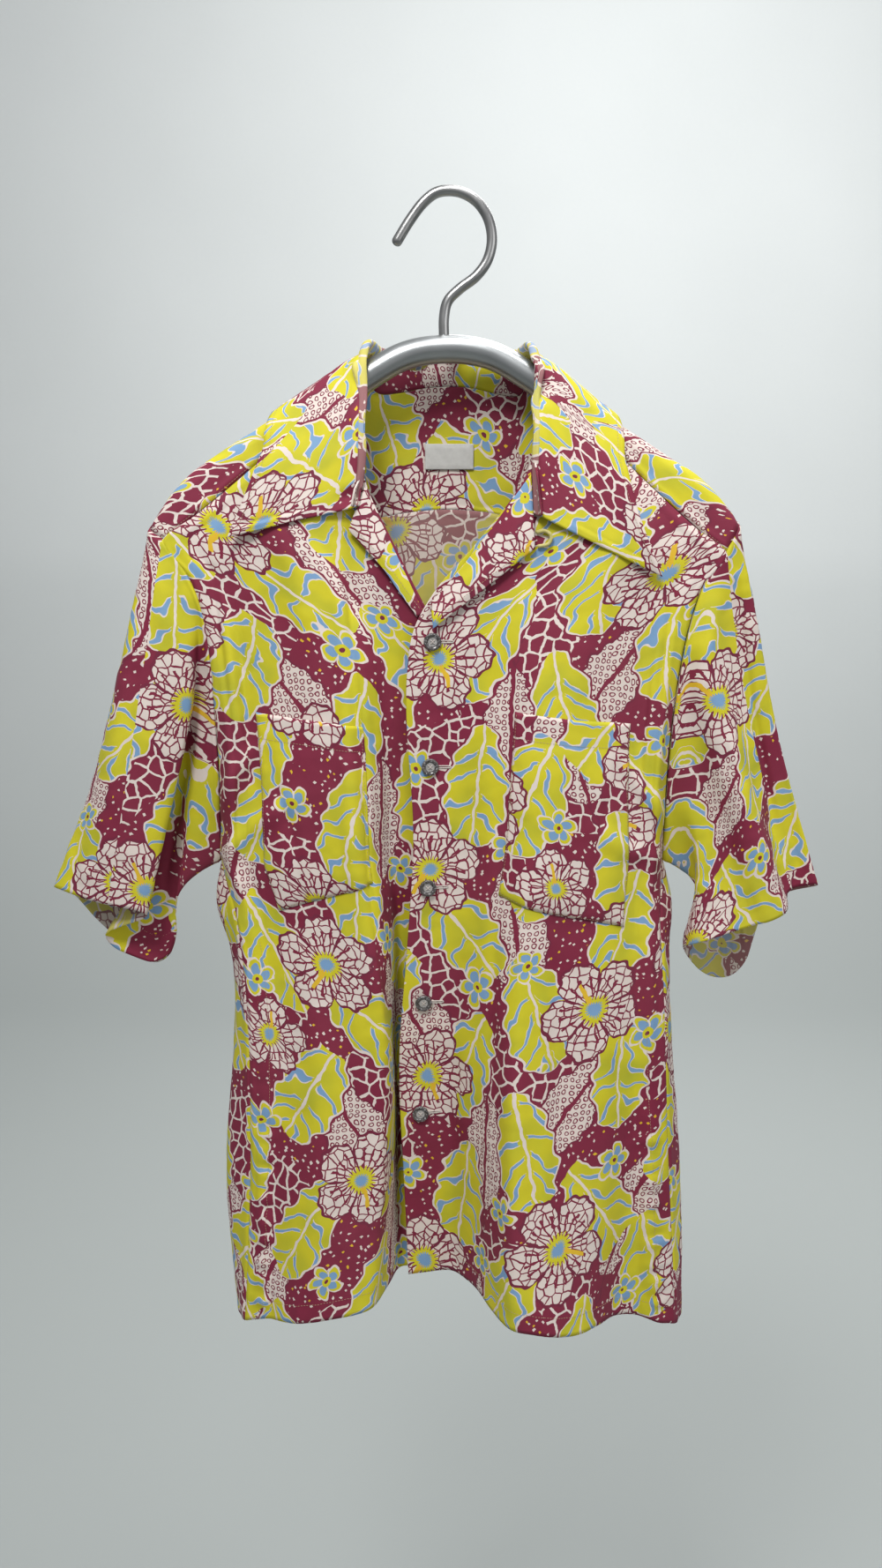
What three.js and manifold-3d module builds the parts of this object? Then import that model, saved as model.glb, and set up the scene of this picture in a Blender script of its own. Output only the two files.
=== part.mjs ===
// A short-sleeved hawaiian shirt hanging buttoned on a tubular hanger, in millimetres, +Z up.
// The origin is the inside of the hook's bend, where it rests on a rail. The front faces -Y,
// so the wearer's right side is at -X. Every cloth piece is a thin closed wall on its own form.
import * as THREE from 'three';
import Module from 'manifold-3d';
import { mergeVertices } from 'three/addons/utils/BufferGeometryUtils.js';

const wasm = await Module();
wasm.setup();

// ---- driving sizes ----
const WALL = 1.2;             // cloth wall
const SEAM = 0.3;             // space between two pieces at a seam
const LIFT = 0.4;             // space under a piece that lies on a panel
const STAND_BACK = 0.7 * SEAM; // how far each piece's edge keeps from the seam line
const HEM_Z = -905;           // hem at the middle of the front
const HEM_DROOP = 40;         // how much lower the hem hangs at the sides
const DROOP_REACH = 190;      // distance from the middle where the hem has that droop
const ARMPIT_Z = -523;
const YOKE_BACK_Z = -240;     // yoke seam at the middle of the back
const YOKE_DROOP = 74;        // how much lower that seam ends at the armholes
const SHOULDER_HALF = 240;
const NECK_HALF = 74;         // neck points, where the collar crosses the shoulders
const BAR_RADIUS = 11;
const ROD_RADIUS = 4.2;
const BUTTON_RADIUS = 7.2;
const BUTTON_PITCH = 102;

const point = (x, y, z) => new THREE.Vector3(x, y, z);
const mix = (a, b, t) => a + (b - a) * t;
const clamp01 = (t) => Math.min(1, Math.max(0, t));
const ease = (t) => clamp01(t) * clamp01(t) * (3 - 2 * clamp01(t));

// A smooth curve through table values: knots run one way, slopes come from the neighbours.
function through(knots, values, at) {
  const last = knots.length - 1;
  const sign = Math.sign(knots[last] - knots[0]);
  if ((at - knots[0]) * sign <= 0) return values[0];
  if ((at - knots[last]) * sign >= 0) return values[last];
  let i = 0;
  while ((at - knots[i + 1]) * sign > 0) i += 1;
  const secant = (k) => (values[k + 1] - values[k]) / (knots[k + 1] - knots[k]);
  const slope = (k) => {
    if (k === 0) return secant(0);
    if (k === last) return secant(last - 1);
    return (secant(k - 1) + secant(k)) / 2;
  };
  const span = knots[i + 1] - knots[i];
  const t = (at - knots[i]) / span;
  const rise = t * t * (3 - 2 * t);
  const lean = t * (1 - t) * span * ((1 - t) * slope(i) - t * slope(i + 1));
  return mix(values[i], values[i + 1], rise) + lean;
}
const range = (from, to) => Array.from({ length: to - from + 1 }, (_, k) => from + k);
const column = (rows, key) => rows.map((row) => row[key]);
const follow = (rows, key, z) => through(column(rows, 'z'), column(rows, key), z);

// ---- walls ----
// A cloth sheet is a grid of places, row by row, with the outward direction at each.
function normalsOf(grid, flip = 1, loop = false) {
  const rows = grid.length;
  const cols = grid[0].length;
  const next = (j) => (loop ? (j + 1) % cols : Math.min(j + 1, cols - 1));
  const before = (j) => (loop ? (j + cols - 1) % cols : Math.max(j - 1, 0));
  return grid.map((row, i) => row.map((_, j) => {
    const down = grid[Math.min(i + 1, rows - 1)][j].clone().sub(grid[Math.max(i - 1, 0)][j]);
    const across = row[next(j)].clone().sub(row[before(j)]);
    return down.cross(across).normalize().multiplyScalar(flip);
  }));
}

// The closed wall: outer face on the grid moved out by `out`, inner face a wall's thickness in.
function wallGeometry(grid, normals, { out = 0, thick = WALL, loop = false } = {}) {
  const rows = grid.length;
  const cols = grid[0].length;
  const places = [];
  for (const depth of [out, out - thick]) {
    grid.forEach((row, i) => row.forEach((p, j) => {
      places.push(p.clone().addScaledVector(normals[i][j], depth));
    }));
  }
  const id = (side, i, j) => side * rows * cols + i * cols + (loop ? j % cols : j);
  const faces = [];
  const quad = (a, b, c, d) => {
    const split = places[a].distanceTo(places[c]) < places[b].distanceTo(places[d]);
    if (split) faces.push(a, b, c, a, c, d);
    else faces.push(a, b, d, b, c, d);
  };
  const lastCol = loop ? cols : cols - 1;
  for (let i = 0; i < rows - 1; i += 1) {
    for (let j = 0; j < lastCol; j += 1) {
      quad(id(0, i, j), id(0, i + 1, j), id(0, i + 1, j + 1), id(0, i, j + 1));
      quad(id(1, i, j), id(1, i, j + 1), id(1, i + 1, j + 1), id(1, i + 1, j));
    }
  }
  for (let j = 0; j < lastCol; j += 1) {
    quad(id(0, 0, j), id(0, 0, j + 1), id(1, 0, j + 1), id(1, 0, j));
    quad(id(0, rows - 1, j + 1), id(0, rows - 1, j), id(1, rows - 1, j), id(1, rows - 1, j + 1));
  }
  for (let i = 0; i < rows - 1 && !loop; i += 1) {
    quad(id(0, i + 1, 0), id(0, i, 0), id(1, i, 0), id(1, i + 1, 0));
    quad(id(0, i, cols - 1), id(0, i + 1, cols - 1), id(1, i + 1, cols - 1), id(1, i, cols - 1));
  }
  const geometry = new THREE.BufferGeometry();
  geometry.setAttribute('position', new THREE.Float32BufferAttribute(places.flatMap((p) => p.toArray()), 3));
  geometry.setIndex(faces);
  if (signedVolume(geometry) < 0) {
    for (let k = 0; k < faces.length; k += 3) [faces[k], faces[k + 1]] = [faces[k + 1], faces[k]];
    geometry.setIndex(faces);
  }
  geometry.computeVertexNormals();
  return geometry;
}

function signedVolume(geometry) {
  const place = geometry.getAttribute('position');
  const index = geometry.getIndex().array;
  const [a, b, c] = [point(0, 0, 0), point(0, 0, 0), point(0, 0, 0)];
  let sum = 0;
  for (let k = 0; k < index.length; k += 3) {
    a.fromBufferAttribute(place, index[k]);
    b.fromBufferAttribute(place, index[k + 1]);
    c.fromBufferAttribute(place, index[k + 2]);
    sum += a.dot(b.cross(c)) / 6;
  }
  return sum;
}

// Two sheets that meet share one outward direction along the seam, so their walls end face to face.
function shareNormals(pairs) {
  pairs.forEach(([first, i, j, second, k, l]) => {
    const both = first[i][j].clone().add(second[k][l]).normalize();
    first[i][j].copy(both);
    second[k][l].copy(both);
  });
}

const shown = new THREE.Group();
function addMesh(name, geometry, finish) {
  const mesh = new THREE.Mesh(geometry, finish);
  mesh.name = name;
  shown.add(mesh);
}

const printedCotton = new THREE.MeshStandardMaterial({ color: 0xb0a43a, roughness: 0.85, metalness: 0 });
const contrastCotton = new THREE.MeshStandardMaterial({ color: 0x8c2a4e, roughness: 0.85, metalness: 0 });
const labelCloth = new THREE.MeshStandardMaterial({ color: 0xd8d6d2, roughness: 0.8, metalness: 0 });
const shellButton = new THREE.MeshStandardMaterial({ color: 0x4b4540, roughness: 0.35, metalness: 0 });
const barFinish = new THREE.MeshStandardMaterial({ color: 0x7f8587, roughness: 0.35, metalness: 0.6 });
const rodFinish = new THREE.MeshStandardMaterial({ color: 0x8a8d8d, roughness: 0.22, metalness: 1 });

// ---- hanger ----
// The bar's middle line, from the centre out to one end: it bends round the neck, slopes and comes forward.
// The left shoulder hangs a little lower than the right one, on the bar too.
const lean = (x) => 7 * ease((x - 80) / 60);
const BAR_LINE = [
  { x: 0, y: 0, z: -115 },
  { x: 34, y: -1, z: -120 },
  { x: 66, y: -4, z: -137.5 },
  { x: 106, y: -8, z: -165 },
  { x: 150, y: -13, z: -194 },
  { x: 186, y: -18, z: -220 },
  { x: 197, y: -19.5, z: -234.5 },
];
const HOOK_LINE = [
  { x: -41.1, z: -33.6 },
  { x: -30.5, z: -17.5 },
  { x: -19.9, z: -4.6 },
  { x: -10.2, z: 2.4 },
  { x: -0.4, z: ROD_RADIUS },
  { x: 10.7, z: 2.6 },
  { x: 22.6, z: -4.2 },
  { x: 31.4, z: -16.6 },
  { x: 34.5, z: -32.3 },
  { x: 31.0, z: -47.6 },
  { x: 22.0, z: -59.6 },
  { x: 8.8, z: -69.2 },
  { x: -0.6, z: -78.5 },
  { x: -3.5, z: -90.4 },
  { x: -3.5, z: -108 },
];
const BORE_DEPTH = 11;

// A round bar along a curve, with domed ends.
function roundBar(path, radius, steps, sides, dome) {
  const curve = new THREE.CatmullRomCurve3(path, false, 'centripetal');
  const frames = curve.computeFrenetFrames(steps, false);
  const rings = [];
  const ring = (centre, frame, r) => {
    const places = [];
    for (let k = 0; k < sides; k += 1) {
      const turn = (2 * Math.PI * k) / sides;
      places.push(centre.clone()
        .addScaledVector(frames.normals[frame], r * Math.cos(turn))
        .addScaledVector(frames.binormals[frame], r * Math.sin(turn)));
    }
    rings.push(places);
  };
  const domeSteps = [0.08, 0.38, 0.71];
  const start = curve.getPointAt(0);
  domeSteps.forEach((share) => {
    ring(start.clone().addScaledVector(frames.tangents[0], -dome * Math.sqrt(1 - share * share)), 0, radius * share);
  });
  for (let k = 0; k <= steps; k += 1) ring(curve.getPointAt(k / steps), k, radius);
  const end = curve.getPointAt(1);
  [...domeSteps].reverse().forEach((share) => {
    ring(end.clone().addScaledVector(frames.tangents[steps], dome * Math.sqrt(1 - share * share)), steps, radius * share);
  });
  const places = rings.flat();
  const faces = [];
  for (let i = 0; i < rings.length - 1; i += 1) {
    for (let j = 0; j < sides; j += 1) {
      const [a, b] = [i * sides + j, i * sides + ((j + 1) % sides)];
      faces.push(a, b, b + sides, a, b + sides, a + sides);
    }
  }
  const lastRing = (rings.length - 1) * sides;
  for (let j = 1; j < sides - 1; j += 1) {
    faces.push(0, j + 1, j);
    faces.push(lastRing, lastRing + j, lastRing + j + 1);
  }
  const geometry = new THREE.BufferGeometry();
  geometry.setAttribute('position', new THREE.Float32BufferAttribute(places.flatMap((p) => p.toArray()), 3));
  geometry.setIndex(faces);
  if (signedVolume(geometry) < 0) {
    for (let k = 0; k < faces.length; k += 3) [faces[k], faces[k + 1]] = [faces[k + 1], faces[k]];
    geometry.setIndex(faces);
  }
  geometry.computeVertexNormals();
  return geometry;
}

function toSolid(geometry) {
  const bare = geometry.clone();
  bare.deleteAttribute('normal');
  bare.deleteAttribute('uv');
  const merged = mergeVertices(bare, 1e-4);
  const mesh = new wasm.Mesh({
    numProp: 3,
    vertProperties: new Float32Array(merged.getAttribute('position').array),
    triVerts: new Uint32Array(merged.getIndex().array),
  });
  mesh.merge();
  return new wasm.Manifold(mesh);
}

function fromSolid(solid) {
  const mesh = solid.getMesh();
  const geometry = new THREE.BufferGeometry();
  geometry.setAttribute('position', new THREE.Float32BufferAttribute(mesh.vertProperties, 3));
  geometry.setIndex(Array.from(mesh.triVerts));
  geometry.computeVertexNormals();
  return geometry;
}

function buildHanger() {
  const half = BAR_LINE.map((row) => point(row.x, row.y, row.z - lean(row.x)));
  const mirrored = BAR_LINE.slice(1).reverse().map((row) => point(-row.x, row.y, row.z));
  const bar = toSolid(roundBar([...mirrored, ...half], BAR_RADIUS, 40, 14, 7));
  const rodPath = HOOK_LINE.map((row) => point(row.x, 0, row.z));
  const foot = rodPath[rodPath.length - 1];
  const bore = new THREE.CylinderGeometry(ROD_RADIUS + SEAM, ROD_RADIUS + SEAM, 2 * BORE_DEPTH, 20);
  bore.rotateX(Math.PI / 2);
  bore.translate(foot.x, foot.y, foot.z + BORE_DEPTH - ROD_RADIUS - SEAM);
  addMesh('hanger_bar', fromSolid(bar.subtract(toSolid(bore))), barFinish);
  addMesh('hanger_hook', roundBar(rodPath, ROD_RADIUS, 32, 9, ROD_RADIUS * 0.8), rodFinish);
}

// ---- shoulders ----
// The line along the top of the shirt's shoulder, over the bar, from the neck point to the sleeve.
const SHOULDER_LINE = [
  { x: 74, y: -5, z: -127 },
  { x: 110, y: -9, z: -151 },
  { x: 147, y: -13, z: -175 },
  { x: 183, y: -18, z: -197.5 },
  { x: 219, y: -23, z: -225 },
  { x: 240, y: -24, z: -254 },
];
function shoulderAt(x, key) {
  const value = through(column(SHOULDER_LINE, 'x'), column(SHOULDER_LINE, key), Math.abs(x));
  return key === 'z' ? value - lean(x) : value;
}

// Edges of the armholes below the yoke: the front one and the back one, both down to the armpit.
// Right and left are the wearer's.
const ARMHOLES = {
  right: {
    sign: -1,
    front: [
      { z: -266, x: -229, y: -38 },
      { z: -280, x: -217, y: -40 },
      { z: -303, x: -206, y: -41 },
      { z: -338, x: -197, y: -41 },
      { z: -390, x: -193, y: -39 },
      { z: -450, x: -191.5, y: -33 },
      { z: ARMPIT_Z, x: -194, y: -18 },
    ],
    back: [
      { z: -314, x: -214, y: 4 },
      { z: -355, x: -205, y: 8 },
      { z: -420, x: -199, y: 7 },
      { z: -480, x: -196, y: -3 },
      { z: ARMPIT_Z, x: -194, y: -18 },
    ],
  },
  left: {
    sign: 1,
    front: [
      { z: -276, x: 223, y: -38 },
      { z: -292, x: 211, y: -40 },
      { z: -312, x: 201, y: -41 },
      { z: -345, x: 193, y: -40 },
      { z: -400, x: 186, y: -36 },
      { z: -460, x: 183, y: -30 },
      { z: ARMPIT_Z, x: 183, y: -18 },
    ],
    back: [
      { z: -318, x: 213, y: 4 },
      { z: -360, x: 203, y: 8 },
      { z: -420, x: 193, y: 7 },
      { z: -480, x: 186, y: -3 },
      { z: ARMPIT_Z, x: 183, y: -18 },
    ],
  },
};

// Heights at which the fold tables give the depth of a fold.
const FOLD_HEIGHTS = [-200, -300, -400, -560, -740, HEM_Z];

// Each front: its outer edge below the armpit, its inner edge from the neck to the hem, and
// a row for each fold line, with `across` its share of the way from outer edge to inner edge.
const FRONTS = {
  right: {
    armhole: ARMHOLES.right,
    side: [
      { z: ARMPIT_Z, x: -194, y: -18 },
      { z: -560, x: -181, y: -38 },
      { z: -620, x: -173, y: -48 },
      { z: -740, x: -171, y: -54 },
      { z: -850, x: -176, y: -60 },
      { z: HEM_Z, x: -180, y: -64 },
    ],
    inner: [
      { z: -138, x: -72, y: -17 },
      { z: -175, x: -71, y: -33 },
      { z: -221, x: -66, y: -39 },
      { z: -269, x: -44, y: -42 },
      { z: -329, x: -14, y: -44 },
      { z: -352, x: -2, y: -43 },
      { z: -560, x: -2, y: -41 },
      { z: -740, x: -6, y: -37 },
      { z: HEM_Z, x: -4, y: -38 },
    ],
    folds: [
      { name: 'armhole ridge', across: [0.08, 0.08, 0.08, 0.07, 0.07, 0.07], y: [-36, -42, -47, -47, -58, -68] },
      { name: 'armhole hollow', across: [0.13, 0.13, 0.13, 0.13, 0.14, 0.14], y: [-36, -40, -40, -44, -60, -72] },
      { name: 'pocket outer', across: [0.18, 0.18, 0.18, 0.22, 0.24, 0.25], y: [-36, -41, -43, -50, -68, -86] },
      { name: 'pocket middle', across: [0.4, 0.4, 0.4, 0.45, 0.47, 0.45], y: [-37, -45, -54, -62, -78, -94] },
      { name: 'long ridge', across: [0.62, 0.62, 0.62, 0.68, 0.72, 0.66], y: [-38, -50, -59, -68, -73, -88] },
      { name: 'deep valley', across: [0.71, 0.71, 0.72, 0.765, 0.78, 0.78], y: [-39, -44, -43, -32, -14, -34] },
      { name: 'button stand', across: [0.86, 0.86, 0.86, 0.87, 0.89, 0.9], y: [-40, -43, -42, -38, -33, -37] },
    ],
    pocket: { from: 3, to: 5, top: [-402, -414], foot: [-561, -541] },
  },
  left: {
    armhole: ARMHOLES.left,
    side: [
      { z: ARMPIT_Z, x: 183, y: -18 },
      { z: -560, x: 180, y: -38 },
      { z: -620, x: 184, y: -48 },
      { z: -740, x: 191, y: -52 },
      { z: -850, x: 199, y: -56 },
      { z: HEM_Z, x: 203, y: -58 },
    ],
    inner: [
      { z: -140, x: 72, y: -17 },
      { z: -175, x: 71, y: -33 },
      { z: -215, x: 62, y: -41 },
      { z: -285, x: 9, y: -48 },
      { z: -319, x: -20, y: -49 },
      { z: -352, x: -31, y: -50 },
      { z: -517, x: -29, y: -50 },
      { z: -594, x: -34, y: -49 },
      { z: -706, x: -42, y: -46 },
      { z: -828, x: -38, y: -45 },
      { z: HEM_Z, x: -35, y: -47 },
    ],
    folds: [
      { name: 'armhole ridge', across: [0.06, 0.06, 0.06, 0.06, 0.08, 0.08], y: [-36, -42, -48, -50, -60, -64] },
      { name: 'armhole hollow', across: [0.11, 0.11, 0.11, 0.11, 0.13, 0.15], y: [-36, -41, -43, -50, -59, -62] },
      { name: 'pocket outer', across: [0.17, 0.17, 0.17, 0.16, 0.18, 0.23], y: [-36, -42, -46, -54, -64, -70] },
      { name: 'pocket middle', across: [0.37, 0.37, 0.37, 0.38, 0.41, 0.42], y: [-38, -48, -58, -68, -88, -116] },
      { name: 'front ridge', across: [0.495, 0.495, 0.495, 0.55, 0.586, 0.635], y: [-39, -50, -62, -76, -98, -120] },
      { name: 'pocket inner', across: [0.6, 0.6, 0.6, 0.66, 0.7, 0.74], y: [-40, -49, -57, -62, -68, -74] },
      { name: 'placket root', across: [0.79, 0.79, 0.79, 0.81, 0.828, 0.84], y: [-41, -48, -50, -48, -44, -46] },
      { name: 'button line', across: [0.93, 0.93, 0.93, 0.93, 0.93, 0.935], y: [-41, -48, -50, -49, -45, -46] },
    ],
    pocket: { from: 3, to: 6, top: [-411, -402], foot: [-572, -552] },
  },
};

// The back's lines between its two edges, with x and y at these heights.
const BACK_HEIGHTS = [-300, -420, -495, ARMPIT_Z, -558, -600, -790, HEM_Z];
const BACK_LINES = [
  { name: 'right flank', x: [-203, -187, -180, -197.5, -206, -188, -199, -190], y: [6, 11, 7, -6, -16, -18, -28, -34] },
  { name: 'right corner', x: [-162, -168, -176, -176, -176, -170, -170, -162], y: [14, 18, 20, 20, 20, 22, 26, 28] },
  { name: 'right hollow', x: [-108, -110, -112, -112, -112, -110, -104, -100], y: [20, 20, 20, 20, 20, 18, 13, 12] },
  { name: 'right fold', x: [-58, -59, -60, -60, -60, -60, -58, -56], y: [24, 31, 36, 36, 36, 40, 47, 52] },
  { name: 'middle hollow', x: [0, 1, 2, 2, 2, 3, 4, 4], y: [30, 30, 30, 30, 30, 29, 24, 22] },
  { name: 'left fold', x: [58, 61, 64, 64, 64, 65, 66, 66], y: [24, 32, 38, 38, 38, 43, 53, 58] },
  { name: 'left hollow', x: [108, 110, 112, 112, 112, 113, 115, 116], y: [20, 20, 20, 20, 20, 18, 15, 14] },
  { name: 'left corner', x: [162, 166, 170, 170, 170, 170, 174, 176], y: [14, 18, 20, 20, 20, 23, 29, 32] },
  { name: 'left flank', x: [202, 180, 172, 185.5, 194, 192, 209, 213], y: [6, 11, 6, -6, -14, -18, -25, -28] },
];

const SLEEVE_ROWS = {
  // `at` is the share of the armhole's edge, from the front end of the yoke down, round and up;
  // `hem` is where that line ends at the sleeve's opening, `bow` moves its middle and `leave`
  // its first third.
  right: [
    { name: 'front shoulder', at: 0.0, hem: [-286, -46, -567], bow: [2, -6, 0], leave: [0, 0, 0] },
    { name: 'front ridge', at: 0.035, hem: [-243, -50, -568], bow: [8, -8, 0], leave: [0, 0, 0] },
    { name: 'tucked fold', at: 0.11, hem: [-292, -30, -596], bow: [14, 20, 0], leave: [0, 0, 0] },
    { name: 'inner layer', at: 0.27, hem: [-262, -18, -626], bow: [2, 14, 0], leave: [-3, 0, 0] },
    { name: 'underarm', at: 0.463, hem: [-243, -6, -621], bow: [-2, 0, 0], leave: [-7, 0, 0] },
    { name: 'back lower', at: 0.6, hem: [-266, 12, -637], bow: [-2, 4, 0], leave: [-9, 1, 0] },
    { name: 'back upper', at: 0.76, hem: [-309, 16, -604], bow: [0, 6, 0], leave: [-5, 2, 0] },
    { name: 'back outer', at: 0.9, hem: [-333, 0, -567], bow: [4, 4, 0], leave: [0, 0, 0] },
    { name: 'shoulder tip', at: 0.955, hem: [-336, -22, -559], bow: [5, 0, 0], leave: [0, 0, 0] },
  ],
  left: [
    { name: 'recess', at: 0.0, hem: [294, -24, -560], bow: [-8, 4, 0], leave: [0, 0, 0] },
    { name: 'front fold', at: 0.04, hem: [286, -48, -569], bow: [-10, -6, 0], leave: [0, 0, 0] },
    { name: 'front panel', at: 0.2, hem: [246, -52, -586], bow: [-2, 4, 0], leave: [2, 0, 0] },
    { name: 'front low', at: 0.36, hem: [208, -47, -601], bow: [2, 4, 0], leave: [5, -1, 0] },
    { name: 'underarm', at: 0.463, hem: [204, -20, -613], bow: [4, 2, 0], leave: [8, 0, 0] },
    { name: 'back lower', at: 0.6, hem: [232, 6, -647], bow: [2, 6, 0], leave: [11, 1, 0] },
    { name: 'back upper', at: 0.76, hem: [264, 9, -640], bow: [0, 6, 0], leave: [8, 2, 0] },
    { name: 'back outer', at: 0.9, hem: [290, 4, -574], bow: [0, 4, 0], leave: [0, 0, 0] },
    { name: 'shoulder tip', at: 0.955, hem: [318, -20, -557], bow: [-4, 0, 0], leave: [0, 0, 0] },
  ],
};
const SLEEVE_STEPS = 11;
const SLEEVE_OFF = [           // a sleeve's space at its seam, for its first rings
  { upper: 0.72, lower: 1.6 },
  { upper: 0.9, lower: 1.6 },
  { upper: 0.5, lower: 0.8 },
];
const SLEEVE_LEAVE = 2.8;

// ---- panels ----
const COLUMNS_PER_GAP = 2;
const droop = (x, z) => HEM_DROOP * (Math.abs(x) / DROOP_REACH) ** 1.5 * ease((-300 - z) / (-300 - HEM_Z));
const drooped = (p) => point(p.x, p.y, p.z - droop(p.x, p.z));

const stepsBetween = (from, to, count) => Array.from({ length: count + 1 }, (_, k) => mix(from, to, k / count));
const SIDE_HEIGHTS = stepsBetween(ARMPIT_Z, HEM_Z, 11);

// The row of a front at height z: its outer edge, fold lines and inner edge, as one smooth curve.
function frontRow(front, z, count) {
  const corner = front.armhole.front[0];
  const neck = front.inner[0];
  let outer;
  if (z > corner.z) {
    const share = (z - corner.z) / (neck.z - corner.z);
    const x = mix(corner.x, neck.x + 4 * front.armhole.sign, share ** 0.92);
    outer = point(x, shoulderAt(x, 'y') - 15, z);
  } else {
    const edge = z > ARMPIT_Z ? front.armhole.front : front.side;
    outer = point(follow(edge, 'x', z), follow(edge, 'y', z), z);
  }
  const inner = point(follow(front.inner, 'x', z), follow(front.inner, 'y', z), z);
  const sag = ease((corner.z + 90 - z) / 90);
  const places = [outer];
  front.folds.forEach((fold) => {
    const across = through(FOLD_HEIGHTS, fold.across, z);
    const seamDepth = mix(outer.y, inner.y, across);
    places.push(point(
      mix(outer.x, inner.x, across),
      mix(seamDepth, through(FOLD_HEIGHTS, fold.y, z), z > corner.z ? sag : 1),
      z,
    ));
  });
  places.push(inner);
  return rowThrough(places, count);
}

// Places along a smooth curve through the given ones, `count` to each gap.
function rowThrough(places, count) {
  const curve = new THREE.CatmullRomCurve3(places, false, 'centripetal');
  const total = (places.length - 1) * count;
  return Array.from({ length: total + 1 }, (_, k) => curve.getPoint(k / total));
}

const ROWS_TO_CORNER = 7;     // down to where the armhole's front edge starts
const ROWS_TO_ARMPIT = 8;
function frontHeights(front) {
  const corner = front.armhole.front[0].z;
  return [
    ...stepsBetween(front.inner[0].z, corner, ROWS_TO_CORNER),
    ...stepsBetween(corner, ARMPIT_Z, ROWS_TO_ARMPIT).slice(1),
    ...SIDE_HEIGHTS.slice(1),
  ];
}

function frontGrid(front) {
  return frontHeights(front).map((z) => frontRow(front, z, COLUMNS_PER_GAP).map(drooped));
}

const NECK_BACK = [
  { x: -76.5, y: -14.5, z: -132 },
  { x: -75.5, y: -5, z: -127 },
  { x: -72, y: 8, z: -133 },
  { x: -56, y: 20, z: -148 },
  { x: -30, y: 27, z: -143 },
  { x: 0, y: 29, z: -140 },
  { x: 30, y: 27, z: -143 },
  { x: 56, y: 20, z: -150 },
  { x: 72, y: 8, z: -133 },
  { x: 75.5, y: -5, z: -127 },
  { x: 76.5, y: -14.5, z: -132.5 },
];
const NECK_COLUMNS = 15;

const yokeBackZ = (x) => YOKE_BACK_Z - YOKE_DROOP * (Math.abs(x) / 214) ** 1.8;

// One level of the back, from the wearer's right edge to the left one.
function backPlaces(z, edges) {
  const inner = BACK_LINES.map((line) => point(
    through(BACK_HEIGHTS, line.x, z),
    through(BACK_HEIGHTS, line.y, z),
    z,
  ));
  return [edges[0], ...inner, edges[1]];
}

function backEdge(side, z) {
  const edge = z > ARMPIT_Z ? ARMHOLES[side].back : FRONTS[side].side;
  return point(follow(edge, 'x', z), follow(edge, 'y', z), z);
}

const BACK_COUNT = 3;
function backGrid() {
  const rows = [];
  const level = (z) => rowThrough(backPlaces(z, [backEdge('right', z), backEdge('left', z)]), BACK_COUNT);
  stepsBetween(0, 1, ROWS_TO_ARMPIT).slice(0, -1).forEach((share) => {
    const edgeZ = mix(yokeBackZ(214), ARMPIT_Z, share);
    rows.push(level(edgeZ).map((p) => point(p.x, p.y, mix(yokeBackZ(p.x), ARMPIT_Z, share))));
  });
  SIDE_HEIGHTS.forEach((z) => rows.push(level(z).map(drooped)));
  return rows;
}

const YOKE_SHARES = [0, 0.05, 0.1, 0.15, 0.2, 0.26, 0.34, 0.46, 0.62, 0.8, 1];
const OVER_BAR = [             // the yoke's turn over the bar, from the line along its top
  { y: -10.2, z: -4.7 },
  { y: 0, z: 0 },
  { y: 10.2, z: -4.7 },
  { y: 15, z: -17 },
];
// The yoke runs from the front seams and the neck, over the bar, to the seam across the back.
function yokeColumn(start, end) {
  const reach = mix(1, SHOULDER_HALF / 229, clamp01((Math.abs(start.x) - NECK_HALF) / 155));
  const x = start.x * reach;
  const top = point(x, shoulderAt(x, 'y'), shoulderAt(x, 'z'));
  const over = OVER_BAR.map((row, k) => point(mix(x, end.x, 0.04 * k), top.y + row.y, top.z + row.z));
  const bar = Math.abs(start.x) > NECK_HALF - 4 ? over.filter((p) => p.y > start.y + 3) : [];
  const last = bar.length ? bar[bar.length - 1] : start;
  const below = last.clone().lerp(end, 0.5).add(point(0, 3, 0));
  const curve = new THREE.CatmullRomCurve3([start, ...bar, below, end], false, 'centripetal');
  return YOKE_SHARES.map((share) => curve.getPointAt(share));
}

function yokeGrid(rightFront, leftFront, back) {
  const backSeam = back[0];
  const neck = rowThrough(NECK_BACK.map((row) => point(row.x, row.y, row.z)), 7);
  const neckPlaces = stepsBetween(0, neck.length - 1, NECK_COLUMNS - 1).map((k) => neck[Math.round(k)]);
  const starts = [
    ...range(0, ROWS_TO_CORNER).map((k) => rightFront[ROWS_TO_CORNER - k][0]),
    ...neckPlaces,
    ...range(0, ROWS_TO_CORNER).map((k) => leftFront[k][leftFront[k].length - 1]),
  ];
  const columns = starts.map((start, k) => yokeColumn(start, backSeam[k]));
  return YOKE_SHARES.map((_, i) => columns.map((places) => places[i]));
}

// ---- sleeves ----
// The armhole's edge, taken from the panels round it: front down, back up, and over the yoke.
function armholeEdge(front, frontColumn, back, backColumn, yoke, yokeColumn) {
  const list = [];
  for (let i = ROWS_TO_CORNER; i <= ROWS_TO_CORNER + ROWS_TO_ARMPIT; i += 1) list.push([front, i, frontColumn]);
  for (let i = ROWS_TO_ARMPIT - 1; i >= 0; i -= 1) list.push([back, i, backColumn]);
  for (let i = yoke.length - 2; i > 0; i -= 1) list.push([yoke, i, yokeColumn]);
  return list;
}

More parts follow.
